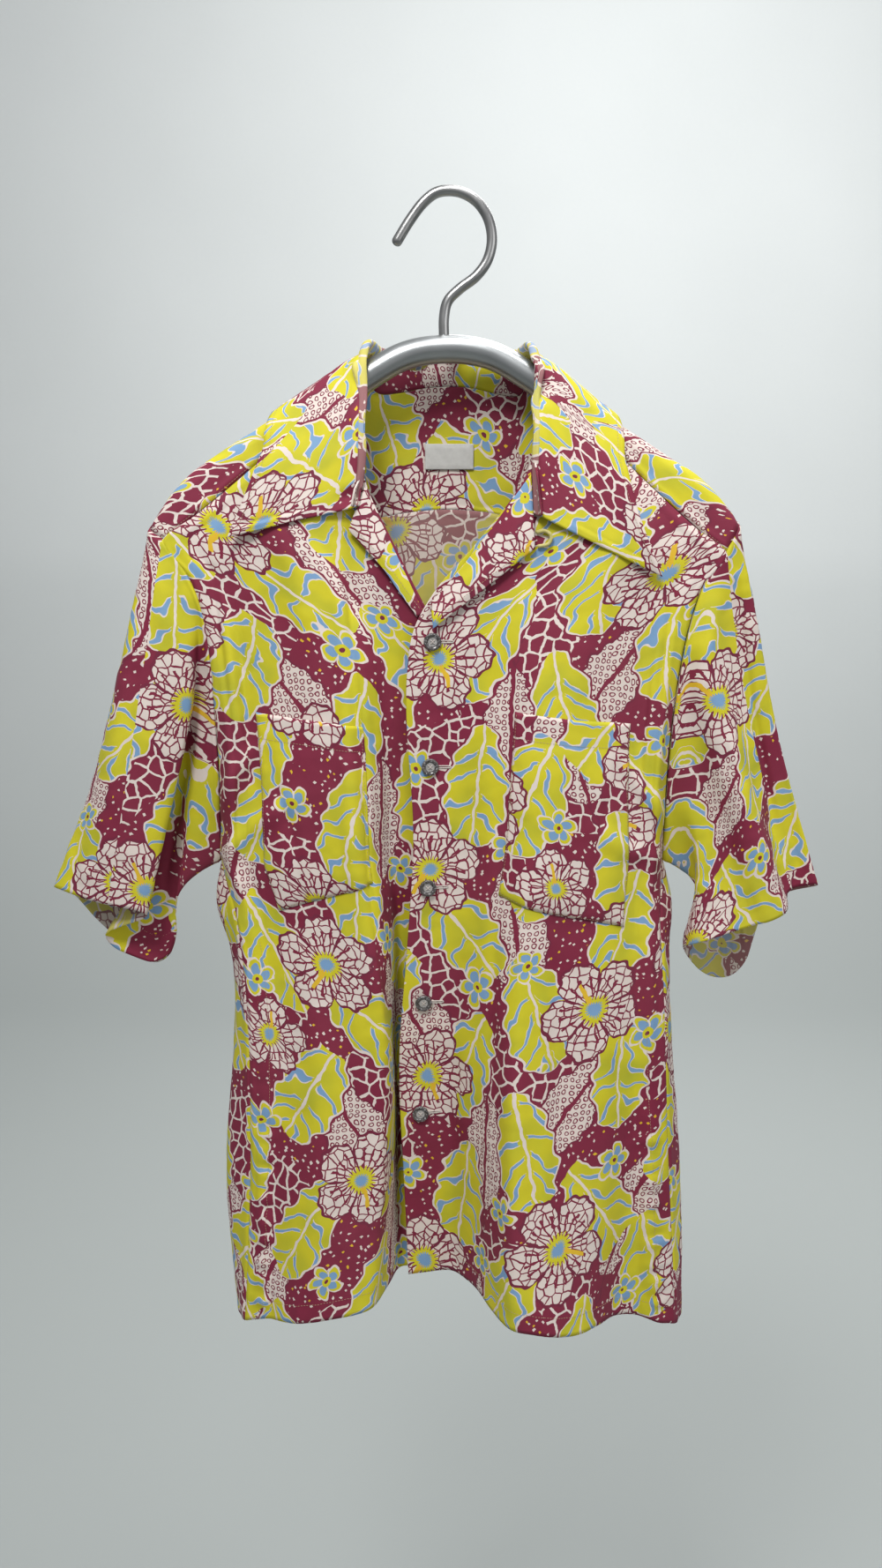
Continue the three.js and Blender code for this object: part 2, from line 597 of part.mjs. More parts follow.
function sleeveGrid(edge, rows) {
  const places = edge.map(([grid, i, j]) => grid[i][j]);
  const lengths = places.map((p, k) => p.distanceTo(places[(k + 1) % places.length]));
  const whole = lengths.reduce((sum, length) => sum + length, 0);
  const wrapped = [
    { ...rows[rows.length - 1], at: rows[rows.length - 1].at - 1 },
    ...rows,
    { ...rows[0], at: 1 },
    { ...rows[1], at: 1 + rows[1].at },
  ];
  const at = column(wrapped, 'at');
  const value = (key, axis, share) => through(at, wrapped.map((row) => row[key][axis]), share);
  const vector = (key, share) => point(value(key, 0, share), value(key, 1, share), value(key, 2, share));
  const grid = stepsBetween(0, 1, SLEEVE_STEPS).map(() => []);
  let gone = 0;
  places.forEach((start, k) => {
    const share = gone / whole;
    gone += lengths[k];
    const end = vector('hem', share);
    const bow = vector('bow', share);
    const leave = vector('leave', share);
    grid.forEach((row, i) => {
      const t = i / SLEEVE_STEPS;
      const p = start.clone().lerp(end, t).addScaledVector(bow, 4 * t * (1 - t));
      row.push(p.addScaledVector(leave, SLEEVE_LEAVE * 6.75 * t * (1 - t) ** 2));
    });
  });
  return grid;
}

// ---- collar ----
// The fold and the outer edge of the collar, from its right notch round the neck to its left one;
// `at` is the share of the neck seam.
const COLLAR_ROWS = [
  { name: 'right notch', at: 0, fold: [-71, -46, -241], edge: [-175, -52, -265] },
  { name: 'right lower', at: 0.1, fold: [-66.5, -43, -206], edge: [-163, -50, -237] },
  { name: 'right middle', at: 0.21, fold: [-65.5, -34, -165], edge: [-149, -41, -200] },
  { name: 'right shoulder', at: 0.315, fold: [-64.5, -8, -110.5], edge: [-137, -16, -163] },
  { name: 'right rear', at: 0.39, fold: [-52, 16, -113], edge: [-106, 16, -172] },
  { name: 'middle', at: 0.5, fold: [0, 28, -113], edge: [0, 42, -181] },
  { name: 'left rear', at: 0.61, fold: [54, 16, -114], edge: [106, 16, -174] },
  { name: 'left shoulder', at: 0.685, fold: [65.5, -8, -112], edge: [133, -16, -166] },
  { name: 'left middle', at: 0.79, fold: [66.5, -34, -165], edge: [141, -42, -208] },
  { name: 'left lower', at: 0.9, fold: [67, -44, -208], edge: [152, -51, -252] },
  { name: 'left notch', at: 1, fold: [68, -48, -247], edge: [170, -54, -296] },
];
const COLLAR_STEPS = [         // closer where the leaf turns over the bar
  { from: 0, to: 0.28, steps: 10 },
  { from: 0.28, to: 0.43, steps: 12 },
  { from: 0.43, to: 0.57, steps: 5 },
  { from: 0.57, to: 0.72, steps: 12 },
  { from: 0.72, to: 1, steps: 10 },
];
const COLLAR_ROLL = 2;       // half the space between stand and leaf at the fold
const LEAF_CLEAR = 4.4;      // how far the leaf stays off the sheets under it
const LEAF_LOOSE = 5;
const STAND_CLEAR = 2.6;
const SEAM_CLEAR = 1.8;
const FRONT_SHARE = 0.2;     // the stand lies in front of the panels beyond this, from the middle
const LAPEL_REACH = 12;
const PANEL_REACH = 30;
// The neck seam's last stretch on each side, along the top of the lapel.
const GORGE = {
  right: { rows: 4, share: 0.08, places: [{ x: -77, y: -53, z: -241 }, { x: -74, y: -51, z: -226 }] },
  left: { rows: 3, share: 0.12, places: [{ x: 70, y: -53, z: -218 }, { x: 72, y: -55, z: -234 }, { x: 74, y: -56, z: -248 }] },
};

function collarGrid(seam, under) {
  const neckLine = new THREE.CatmullRomCurve3(seam, false, 'centripetal');
  const at = column(COLLAR_ROWS, 'at');
  const value = (key, axis, share) => through(at, COLLAR_ROWS.map((row) => row[key][axis]), share);
  const vector = (key, share) => point(value(key, 0, share), value(key, 1, share), value(key, 2, share));
  const shares = COLLAR_STEPS.flatMap((row) => stepsBetween(row.from, row.to, row.steps).slice(1));
  return [0, ...shares].map((share) => {
    const start = neckLine.getPointAt(share);
    const fold = vector('fold', share);
    const edge = vector('edge', share);
    const along = vector('fold', Math.min(1, share + 0.01)).sub(vector('fold', Math.max(0, share - 0.01)));
    const fall = edge.clone().sub(fold).normalize();
    const face = fall.clone().cross(along).normalize();
    const inside = fold.clone().addScaledVector(fall, COLLAR_ROLL * 1.6);
    const outside = inside.clone().addScaledVector(face, 2 * COLLAR_ROLL);
    const top = fold.clone().addScaledVector(face, COLLAR_ROLL);
    const middle = outside.clone().lerp(edge, 0.5).addScaledVector(face, 2);
    start.add(inside.clone().sub(start).setLength(2 * SEAM));
    const row = rowThrough([start, inside, top, outside, middle, edge], 2);
    const onLapel = share < GORGE.right.share || share > 1 - GORGE.left.share;
    const inFront = Math.abs(share - 0.5) > FRONT_SHARE;
    return row.map((p, j) => {
      if (j > 5) return settle(p, under, LEAF_CLEAR, j > 7 ? LEAF_LOOSE : 40);
      if (onLapel) return settle(p, { panels: [], lapels: under.lapels }, STAND_CLEAR, 40);
      return inFront ? settle(p, under, j > 0 ? STAND_CLEAR : SEAM_CLEAR, 40) : p;
    });
  });
}

// The nearest place of a sheet to `p`, and how far `p` stands off the sheet there.
function nearestOn({ grid, normals }, p) {
  let nearest = null;
  grid.slice(1).forEach((row, i) => row.forEach((q, j) => {
    const away = q.distanceTo(p);
    if (nearest && away >= nearest.away) return;
    const face = normals[i + 1][j];
    nearest = { away, face, height: p.clone().sub(q).dot(face) };
  }));
  return nearest;
}

// Moves a place off what lies under it until it is `apart` from that, and brings it
// back to within `loose` of that where it stands further off.
function settle(place, under, apart, loose) {
  const p = place.clone();
  const [panel] = under.panels.map((sheet) => nearestOn(sheet, p)).sort((one, other) => one.away - other.away);
  if (panel && panel.away < PANEL_REACH) {
    const off = Math.min(Math.max(panel.height, apart), apart + loose) - panel.height;
    p.addScaledVector(panel.face, off);
  }
  under.lapels.forEach((lapel) => {
    const { away, face, height } = nearestOn(lapel, p);
    const aside = Math.sqrt(Math.max(0, away ** 2 - height ** 2));
    if (aside < LAPEL_REACH && height < apart) p.addScaledVector(face, apart - height);
  });
  return p;
}

// ---- pieces that lie on a panel ----
// The depth of a sheet's foremost face behind a place seen from the front.
function depthOn(grid, x, z) {
  let found = null;
  for (let i = 0; i < grid.length - 1; i += 1) {
    for (let j = 0; j < grid[0].length - 1; j += 1) {
      const corners = [grid[i][j], grid[i + 1][j], grid[i + 1][j + 1], grid[i][j + 1]];
      [[0, 1, 2], [0, 2, 3]].forEach(([a, b, c]) => {
        const [p, q, r] = [corners[a], corners[b], corners[c]];
        const area = (q.x - p.x) * (r.z - p.z) - (r.x - p.x) * (q.z - p.z);
        const toQ = ((x - p.x) * (r.z - p.z) - (r.x - p.x) * (z - p.z)) / area;
        const toR = ((q.x - p.x) * (z - p.z) - (x - p.x) * (q.z - p.z)) / area;
        if (toQ >= -1e-6 && toR >= -1e-6 && toQ + toR <= 1 + 1e-6) {
          const depth = p.y + toQ * (q.y - p.y) + toR * (r.y - p.y);
          if (found === null || depth < found) found = depth;
        }
      });
    }
  }
  return found;
}

const LAPELS = {
  right: {
    roll: [{ at: 0, x: -66.5, z: -226 }, { at: 0.5, x: -43, z: -275 }, { at: 1, x: -19.5, z: -325 }],
    edge: [{ at: 0, x: -79, z: -259 }, { at: 0.5, x: -52, z: -289 }, { at: 1, x: -24, z: -327 }],
  },
  left: {
    roll: [{ at: 0, x: 65, z: -216 }, { at: 0.6, x: 13, z: -285 }, { at: 1, x: -14, z: -316 }],
    edge: [{ at: 0, x: 68, z: -274 }, { at: 0.5, x: 28, z: -305 }, { at: 1, x: -13, z: -336 }],
  },
};
function lapelGrid(lapel, front, lift) {
  return stepsBetween(0, 1, 8).map((share) => {
    const at = column(lapel.roll, 'at');
    const roll = point(through(at, column(lapel.roll, 'x'), share), 0, through(at, column(lapel.roll, 'z'), share));
    const edge = point(through(at, column(lapel.edge, 'x'), share), 0, through(at, column(lapel.edge, 'z'), share));
    return stepsBetween(0, 1, 5).map((across) => {
      const p = roll.clone().lerp(edge, across);
      p.y = depthOn(front, p.x, p.z) - lift - 1.2 * Math.sin(Math.PI * across);
      return p;
    });
  });
}

function pocketGrid(front, pocket) {
  const columns = (pocket.to - pocket.from) * COLUMNS_PER_GAP;
  return stepsBetween(0, 1, 8).map((share) => stepsBetween(0, 1, columns).map((across, j) => {
    const z = mix(mix(pocket.top[0], pocket.top[1], across), mix(pocket.foot[0], pocket.foot[1], across), share);
    return drooped(frontRow(front, z, COLUMNS_PER_GAP)[pocket.from * COLUMNS_PER_GAP + j]);
  }));
}

const LABEL = { from: -19.5, to: 21.5, top: -186, foot: -207, thick: 0.6 };
const LOOP_RADIUS = 1.5;
const LOOP_LINE = [             // the small loop under the end of the collar, at the lapel's corner
  { x: 70, z: -261, off: 2.2 },
  { x: 76, z: -260, off: 3 },
  { x: 81, z: -264, off: 3.4 },
  { x: 79, z: -270, off: 3 },
  { x: 71, z: -272, off: 2.2 },
];
const BUTTONS = [
  { x: -13, z: -347 },
  { x: -15, z: -347 - BUTTON_PITCH },
  { x: -17, z: -347 - 2 * BUTTON_PITCH },
  { x: -21, z: -347 - 3 * BUTTON_PITCH },
  { x: -24, z: -347 - 4 * BUTTON_PITCH },
];
function buttonGeometry() {
  const profile = [[0, 0], [0.8, 0], [1, 0.35], [0.98, 0.8], [0.82, 1], [0.62, 0.72], [0, 0.62]];
  const places = profile.map(([r, h]) => new THREE.Vector2(r * BUTTON_RADIUS, h * 2.8));
  return new THREE.LatheGeometry(places, 12);
}

// ---- build ----
buildHanger();

const rightFront = frontGrid(FRONTS.right);
// The wearer's left front is worked from its outer edge too, then turned to run left to right.
const leftFront = frontGrid(FRONTS.left).map((row) => row.reverse());
const back = backGrid();
const yoke = yokeGrid(rightFront, leftFront, back);
const leftEdge = leftFront[0].length - 1;
const backEnd = back[0].length - 1;
const rightArmhole = armholeEdge(rightFront, 0, back, 0, yoke, 0);
const leftArmhole = armholeEdge(leftFront, leftEdge, back, backEnd, yoke, yoke[0].length - 1);
const rightSleeve = sleeveGrid(rightArmhole, SLEEVE_ROWS.right);
const leftSleeve = sleeveGrid(leftArmhole, SLEEVE_ROWS.left);

const rightInner = rightFront[0].length - 1;
const neckSeam = [
  ...range(0, GORGE.right.rows).map((k) => [rightFront, GORGE.right.rows - k, rightInner]),
  ...range(0, NECK_COLUMNS - 1).map((k) => [yoke, 0, ROWS_TO_CORNER + 1 + k]),
  ...range(0, GORGE.left.rows).map((i) => [leftFront, i, 0]),
];
const gorge = (side) => GORGE[side].places.map((p) => point(p.x, p.y, p.z));
const lapels = {
  right: lapelGrid(LAPELS.right, rightFront, WALL + LIFT + 0.6),
  left: lapelGrid(LAPELS.left, leftFront, WALL + LIFT + 0.6),
};
const skin = (grid, flip = 1) => ({ grid, normals: normalsOf(grid, flip) });
const collar = collarGrid(
  [...gorge('right'), ...neckSeam.map(([grid, i, j]) => grid[i][j]), ...gorge('left')],
  {
    panels: [skin(rightFront), skin(leftFront), skin(yoke, -1)],
    lapels: [skin(lapels.right, -1), skin(lapels.left)],
  },
);

// Outward directions of every sheet, then the ones that two sheets share along a seam.
const facing = new Map([
  [rightFront, normalsOf(rightFront)],
  [leftFront, normalsOf(leftFront)],
  [back, normalsOf(back, -1)],
  [yoke, normalsOf(yoke, -1)],
  [rightSleeve, normalsOf(rightSleeve, -1, true)],
  [leftSleeve, normalsOf(leftSleeve, 1, true)],
  [collar, normalsOf(collar, 1)],
  [lapels.right, normalsOf(lapels.right, -1)],
  [lapels.left, normalsOf(lapels.left)],
]);
// The first row of these is short or sharply turned, so it takes the second row's directions.
[rightFront, leftFront, yoke].forEach((grid) => {
  const [first, second] = facing.get(grid);
  first.forEach((face, j) => face.copy(second[j]));
});
const join = (one, i, j, other, k, l) => shareNormals([[facing.get(one), i, j, facing.get(other), k, l]]);
for (let i = 1; i < SIDE_HEIGHTS.length; i += 1) {
  join(rightFront, ROWS_TO_CORNER + ROWS_TO_ARMPIT + i, 0, back, ROWS_TO_ARMPIT + i, 0);
  join(leftFront, ROWS_TO_CORNER + ROWS_TO_ARMPIT + i, leftEdge, back, ROWS_TO_ARMPIT + i, backEnd);
}
for (let k = 0; k <= ROWS_TO_CORNER; k += 1) {
  join(rightFront, ROWS_TO_CORNER - k, 0, yoke, 0, k);
  join(leftFront, k, leftEdge, yoke, 0, ROWS_TO_CORNER + 1 + NECK_COLUMNS + k);
}
back[0].forEach((_, j) => join(back, 0, j, yoke, yoke.length - 1, j));
rightArmhole.forEach(([grid, i, j], k) => join(grid, i, j, rightSleeve, 0, k));
leftArmhole.forEach(([grid, i, j], k) => join(grid, i, j, leftSleeve, 0, k));

// Every edge that meets another piece stands back by half a seam's space.
function standBack(grid, cells) {
  const moved = cells.map(([i, j, k, l]) => {
    const step = grid[k][l].clone().sub(grid[i][j]).normalize().multiplyScalar(STAND_BACK);
    return [grid[i][j], step];
  });
  moved.forEach(([p, step]) => p.add(step));
}

const cloth = {
  front_right: [rightFront, printedCotton],
  front_left: [leftFront, printedCotton],
  back: [back, printedCotton],
  yoke: [yoke, printedCotton],
};
const separate = new Map([...facing.keys()].map((grid) => [grid, grid.map((row) => row.map((p) => p.clone()))]));
const own = (grid) => separate.get(grid);
const lastFront = rightFront.length - 1;
standBack(own(rightFront), range(0, lastFront).map((i) => [i, 0, i, 1]));
standBack(own(leftFront), range(0, lastFront).map((i) => [i, leftEdge, i, leftEdge - 1]));
standBack(own(rightFront), range(0, GORGE.right.rows).map((i) => [i, rightInner, i, rightInner - 1]));
standBack(own(leftFront), range(0, GORGE.left.rows).map((i) => [i, 0, i, 1]));
standBack(own(rightFront), range(0, rightInner).map((j) => [0, j, 1, j]));
standBack(own(leftFront), range(0, leftEdge).map((j) => [0, j, 1, j]));
standBack(own(back), range(0, back.length - 1).map((i) => [i, 0, i, 1]));
standBack(own(back), range(0, back.length - 1).map((i) => [i, backEnd, i, backEnd - 1]));
standBack(own(back), range(0, backEnd).map((j) => [0, j, 1, j]));
standBack(own(yoke), range(0, backEnd).map((j) => [0, j, 1, j]));
standBack(own(yoke), range(0, backEnd).map((j) => [yoke.length - 1, j, yoke.length - 2, j]));
standBack(own(yoke), range(0, yoke.length - 1).map((i) => [i, 0, i, 1]));
standBack(own(yoke), range(0, yoke.length - 1).map((i) => [i, backEnd, i, backEnd - 1]));
// A sleeve's first rings stand off square to the armhole, because its cloth runs almost along it.
[rightSleeve, leftSleeve].forEach((sleeve) => {
  const grid = own(sleeve);
  const count = sleeve[0].length;
  sleeve[0].forEach((p, j) => {
    const seam = sleeve[0][(j + 1) % count].clone().sub(sleeve[0][(j + count - 1) % count]).normalize();
    const away = sleeve[3][j].clone().sub(p);
    away.addScaledVector(seam, -away.dot(seam)).normalize();
    const low = ease((-300 - p.z) / 60);
    SLEEVE_OFF.forEach((row, i) => grid[i][j].addScaledVector(away, mix(row.upper, row.lower, low)));
  });
});

Object.entries(cloth).forEach(([name, [grid, finish]]) => {
  addMesh(name, wallGeometry(own(grid), facing.get(grid)), finish);
});
const sleeveWall = (grid) => wallGeometry(own(grid), facing.get(grid), { loop: true });
addMesh('sleeve_right', sleeveWall(rightSleeve), contrastCotton);
addMesh('sleeve_left', sleeveWall(leftSleeve), contrastCotton);
addMesh('collar', wallGeometry(collar, facing.get(collar)), contrastCotton);

['right', 'left'].forEach((side) => {
  const grid = pocketGrid(FRONTS[side], FRONTS[side].pocket);
  const flip = side === 'right' ? 1 : -1;
  addMesh(`pocket_${side}`, wallGeometry(grid, normalsOf(grid, flip), { out: LIFT + WALL }), contrastCotton);
});
addMesh('lapel_right', wallGeometry(lapels.right, normalsOf(lapels.right, -1)), contrastCotton);
addMesh('lapel_left', wallGeometry(lapels.left, normalsOf(lapels.left, 1)), contrastCotton);

const labelGrid = stepsBetween(LABEL.top, LABEL.foot, 2).map((z) => stepsBetween(LABEL.from, LABEL.to, 4)
  .map((x) => point(x, depthOn(yoke, x, z) - WALL - LIFT, z)));
addMesh('neck_label', wallGeometry(labelGrid, normalsOf(labelGrid), { out: LABEL.thick, thick: LABEL.thick }), labelCloth);
const loopPath = LOOP_LINE.map((row) => point(row.x, depthOn(leftFront, row.x, row.z) - row.off, row.z));
addMesh('collar_loop', roundBar(loopPath, LOOP_RADIUS, 8, 6, 0.8), printedCotton);

BUTTONS.forEach((place, k) => {
  const geometry = buttonGeometry();
  geometry.rotateX(Math.PI);
  geometry.translate(place.x, depthOn(leftFront, place.x, place.z) - 0.7, place.z);
  addMesh(`button_${k + 1}`, geometry, shellButton);
});

export default shown;
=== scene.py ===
import math

import bmesh
import bpy
import numpy as np
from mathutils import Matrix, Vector


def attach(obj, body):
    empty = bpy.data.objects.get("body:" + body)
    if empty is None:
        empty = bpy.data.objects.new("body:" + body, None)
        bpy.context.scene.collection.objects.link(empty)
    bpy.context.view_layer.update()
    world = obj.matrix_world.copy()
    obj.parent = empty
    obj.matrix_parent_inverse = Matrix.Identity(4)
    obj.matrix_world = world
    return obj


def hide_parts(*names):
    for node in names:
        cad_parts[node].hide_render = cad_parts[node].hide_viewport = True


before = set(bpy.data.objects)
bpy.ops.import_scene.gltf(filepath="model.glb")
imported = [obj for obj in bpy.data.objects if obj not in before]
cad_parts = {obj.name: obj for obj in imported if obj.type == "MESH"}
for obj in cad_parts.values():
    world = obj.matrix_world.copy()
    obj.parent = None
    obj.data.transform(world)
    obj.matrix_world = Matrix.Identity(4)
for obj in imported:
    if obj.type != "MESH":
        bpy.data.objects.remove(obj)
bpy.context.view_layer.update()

# ---- Camera ----
# It stands a metre in front of the shirt, level with the second button and tipped down a little.
camera_data = bpy.data.cameras.new("camera")
camera_data.lens = 27.05
camera_data.sensor_width = 36
camera_data.clip_end = 30
camera = bpy.data.objects.new("camera", camera_data)
camera.location = (-0.006, -1.0, -0.287)
camera.rotation_euler = (math.radians(79.5), 0, 0)
bpy.context.scene.collection.objects.link(camera)
bpy.context.scene.camera = camera

# ---- Hook ----
# A satin steel rod of 8.4 mm, bent to an open hook that hangs over a rail, with a
# straight foot that is pressed into the middle of the bar.
MM = 0.001
ROD_RADIUS = 4.2
HOOK_LINE = [
    (-41.1, 0, -33.6), (-30.5, 0, -17.5), (-19.9, 0, -4.6), (-10.2, 0, 2.4), (-0.4, 0, 4.2),
    (10.7, 0, 2.6), (22.6, 0, -4.2), (31.4, 0, -16.6), (34.5, 0, -32.3), (31.0, 0, -47.6),
    (22.0, 0, -59.6), (8.8, 0, -69.2), (-0.6, 0, -78.5), (-3.5, 0, -90.4), (-3.5, 0, -108),
]


def mix(a, b, t):
    return a + (b - a) * t


def spline(places, count):
    """Places along a smooth curve through the given ones, `count` to each gap."""
    places = np.asarray(places, float)
    padded = np.vstack([2 * places[0] - places[1], places, 2 * places[-1] - places[-2]])
    t = (np.arange(count) / count)[:, None]
    parts = []
    for a, b, c, d in zip(padded, padded[1:], padded[2:], padded[3:]):
        before, span, after = (max(np.linalg.norm(q - p), 1e-8) ** 0.5 for p, q in ((a, b), (b, c), (c, d)))
        leave = ((b - a) / before - (c - a) / (before + span) + (c - b) / span) * span
        arrive = ((c - b) / span - (d - b) / (span + after) + (d - c) / after) * span
        square = 3 * (c - b) - 2 * leave - arrive
        cube = 2 * (b - c) + leave + arrive
        parts.append(b + leave * t + square * t**2 + cube * t**3)
    return np.vstack([*parts, places[-1:]])


def spaced(places, shares):
    """Places at shares of the length of the smooth curve through the given ones."""
    fine = spline(places, 24)
    gone = np.concatenate([[0], np.cumsum(np.linalg.norm(np.diff(fine, axis=0), axis=1))])
    return np.stack([np.interp(np.asarray(shares) * gone[-1], gone, fine[:, k]) for k in range(3)], axis=1)


def new_piece(name, places_mm, faces, materials, face_materials=None, uvs=None):
    mesh = bpy.data.meshes.new(name)
    mesh.from_pydata((np.asarray(places_mm) * MM).tolist(), [], faces)
    for material in materials:
        mesh.materials.append(material)
    mesh.polygons.foreach_set("use_smooth", [True] * len(mesh.polygons))
    if face_materials is not None:
        mesh.polygons.foreach_set("material_index", face_materials)
    if uvs is not None:
        layer = mesh.uv_layers.new(name="cloth")
        layer.data.foreach_set("uv", np.asarray(uvs, float).ravel())
    mesh.update()
    piece = bpy.data.objects.new(name, mesh)
    bpy.context.scene.collection.objects.link(piece)
    return piece


def round_rod(name, places, radius, steps, sides, dome, material):
    """A round rod along a smooth curve, with domed ends."""
    line = spaced(places, np.linspace(0, 1, steps + 1))
    tangents = np.gradient(line, axis=0)
    tangents /= np.linalg.norm(tangents, axis=1)[:, None]
    side = np.cross(tangents[0], (0.0, 1.0, 0.0))
    if np.linalg.norm(side) < 0.2:
        side = np.cross(tangents[0], (1.0, 0.0, 0.0))
    turn = np.linspace(0, 2 * np.pi, sides, endpoint=False)[:, None]
    rings = []

    def ring(centre, tangent, r):
        across = np.cross(tangent, side)
        rings.append(centre + r * (np.cos(turn) * side + np.sin(turn) * across))

    caps = (0.05, 0.35, 0.65, 0.88)
    for k, (centre, tangent) in enumerate(zip(line, tangents)):
        side = side - tangent * side.dot(tangent)
        side /= np.linalg.norm(side)
        if k == 0:
            for share in caps:
                ring(centre - tangent * dome * math.sqrt(1 - share**2), tangent, radius * share)
        ring(centre, tangent, radius)
        if k == steps:
            for share in reversed(caps):
                ring(centre + tangent * dome * math.sqrt(1 - share**2), tangent, radius * share)
    faces = []
    for i in range(len(rings) - 1):
        for j in range(sides):
            a, b = i * sides + j, i * sides + (j + 1) % sides
            faces.append((a, b, b + sides, a + sides))
    faces.append(tuple(range(sides))[::-1])
    faces.append(tuple(range((len(rings) - 1) * sides, len(rings) * sides)))
    piece = new_piece(name, np.vstack(rings), faces, [material])
    face_outward(piece)
    return piece


def face_outward(piece):
    shape = bmesh.new()
    shape.from_mesh(piece.data)
    bmesh.ops.recalc_face_normals(shape, faces=shape.faces)
    shape.to_mesh(piece.data)
    shape.free()


class Value:
    """A shader value or vector that takes part in Python expressions."""

    def __init__(self, shader, socket):
        self.shader, self.socket = shader, socket

    def math(self, operation, *others, flipped=False):
        terms = [self, *others][::-1] if flipped else [self, *others]
        return self.shader.node("ShaderNodeMath", {"operation": operation}, dict(enumerate(terms)))

    def __add__(self, other):
        return self.math("ADD", other)

    def __sub__(self, other):
        return self.math("SUBTRACT", other)

    def __rsub__(self, other):
        return self.math("SUBTRACT", other, flipped=True)

    def __mul__(self, other):
        return self.math("MULTIPLY", other)

    def __truediv__(self, other):
        return self.math("DIVIDE", other)

    def __pow__(self, other):
        return self.math("POWER", other)

    def __lt__(self, other):
        return self.math("LESS_THAN", other)

    def __gt__(self, other):
        return self.math("GREATER_THAN", other)

    def __abs__(self):
        return self.math("ABSOLUTE")

    __radd__ = __add__
    __rmul__ = __mul__


class Shader:
    """A material and the one way that its nodes are made."""

    def __init__(self, name, **surface):
        self.material = bpy.data.materials.new(name)
        self.material.use_nodes = True
        self.tree = self.material.node_tree
        self.surface = self.tree.nodes["Principled BSDF"]
        for socket, value in surface.items():
            self.surface.inputs[socket.replace("_", " ")].default_value = value

    def node(self, kind, settings=None, inputs=None, output=0):
        node = self.tree.nodes.new(kind)
        for key, value in (settings or {}).items():
            setattr(node, key, value)
        for key, value in (inputs or {}).items():
            self.feed(node.inputs[key], value)
        return Value(self, node.outputs[output])

    def feed(self, socket, value):
        if isinstance(value, Value):
            self.tree.links.new(value.socket, socket)
        else:
            socket.default_value = value

    def blend(self, factor, first, second):
        return self.node("ShaderNodeMix", {"data_type": "RGBA"}, {0: factor, 6: first, 7: second}, 2)

    def noise(self, place, scale, detail=2.0, output=0):
        inputs = {"Vector": place, "Scale": scale, "Detail": detail}
        return self.node("ShaderNodeTexNoise", {}, inputs, output)

    def bump(self, height, strength, distance):
        inputs = {"Height": height, "Strength": strength, "Distance": distance}
        normal = self.node("ShaderNodeBump", {}, inputs)
        self.feed(self.surface.inputs["Normal"], normal)


rod_shader = Shader("dark_satin_steel", Metallic=1.0)
place = rod_shader.node("ShaderNodeTexCoord", output=3)
drawn = rod_shader.node("ShaderNodeMapping", {}, {"Vector": place, "Scale": (900, 900, 60)})
grain = rod_shader.noise(drawn, 1.0, 3.0)
smudge = rod_shader.noise(place, 60.0, 3.0)
steel = rod_shader.blend(smudge, (0.3, 0.3, 0.3, 1), (0.48, 0.48, 0.47, 1))
rod_shader.feed(rod_shader.surface.inputs["Base Color"], steel)
rod_shader.feed(rod_shader.surface.inputs["Roughness"], 0.2 + grain * 0.16 + smudge * 0.1)
rod_shader.bump(grain, 0.15, 0.0002)
hook = round_rod("hook_rod", HOOK_LINE, ROD_RADIUS, 150, 28, ROD_RADIUS * 0.8, rod_shader.material)
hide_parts("hanger_hook")
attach(hook, "root")

# ---- Hanger bar ----
# A round grey bar of 22 mm that slopes and comes forward at the shoulders, with domed
# ends and a satin finish. The hook's foot goes into its middle.
BAR_RADIUS = 11
BAR_LINE = [
    (0, 0, -115), (34, -1, -120), (66, -4, -137.5), (106, -8, -165),
    (150, -13, -194), (186, -18, -220), (197, -19.5, -234.5),
]
LEAN = 7                      # how much lower the left shoulder hangs, on the bar too


def ease(t):
    t = np.clip(t, 0, 1)
    return t * t * (3 - 2 * t)


def lean(x):
    return LEAN * ease((x - 80) / 60)


bar_shader = Shader("satin_grey_bar", Metallic=0.9)
place = bar_shader.node("ShaderNodeTexCoord", output=3)
cloud = bar_shader.noise(place, 35.0, 3.0)
fleck = bar_shader.noise(place, 900.0, 2.0)
bar_shader.feed(
    bar_shader.surface.inputs["Base Color"],
    bar_shader.blend(cloud, (0.36, 0.375, 0.38, 1), (0.46, 0.475, 0.475, 1)),
)
bar_shader.feed(bar_shader.surface.inputs["Roughness"], 0.24 + cloud * 0.12 + fleck * 0.08)
bar_shader.bump(fleck, 0.12, 0.0002)
bar_places = [(-x, y, z) for x, y, z in BAR_LINE[:0:-1]] + [(x, y, z - lean(x)) for x, y, z in BAR_LINE]
bar = round_rod("bar_tube", bar_places, BAR_RADIUS, 150, 36, 7, bar_shader.material)
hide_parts("hanger_bar")
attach(bar, "root")

# ---- Fronts ----
# Two panels of printed cotton, cut alike and sewn to the yoke, the sleeves and the back. The
# wearer's left one laps over the right one and carries the buttonholes; both hang in soft folds.
HEM_Z = -905
HEM_DROOP = 40
DROOP_REACH = 190
ARMPIT_Z = -523
SHOULDER_HALF = 240
NECK_HALF = 74
SHOULDER_LINE = {
    "x": [74, 110, 147, 183, 219, 240],
    "y": [-5, -9, -13, -18, -23, -24],
    "z": [-127, -151, -175, -197.5, -225, -254],
}
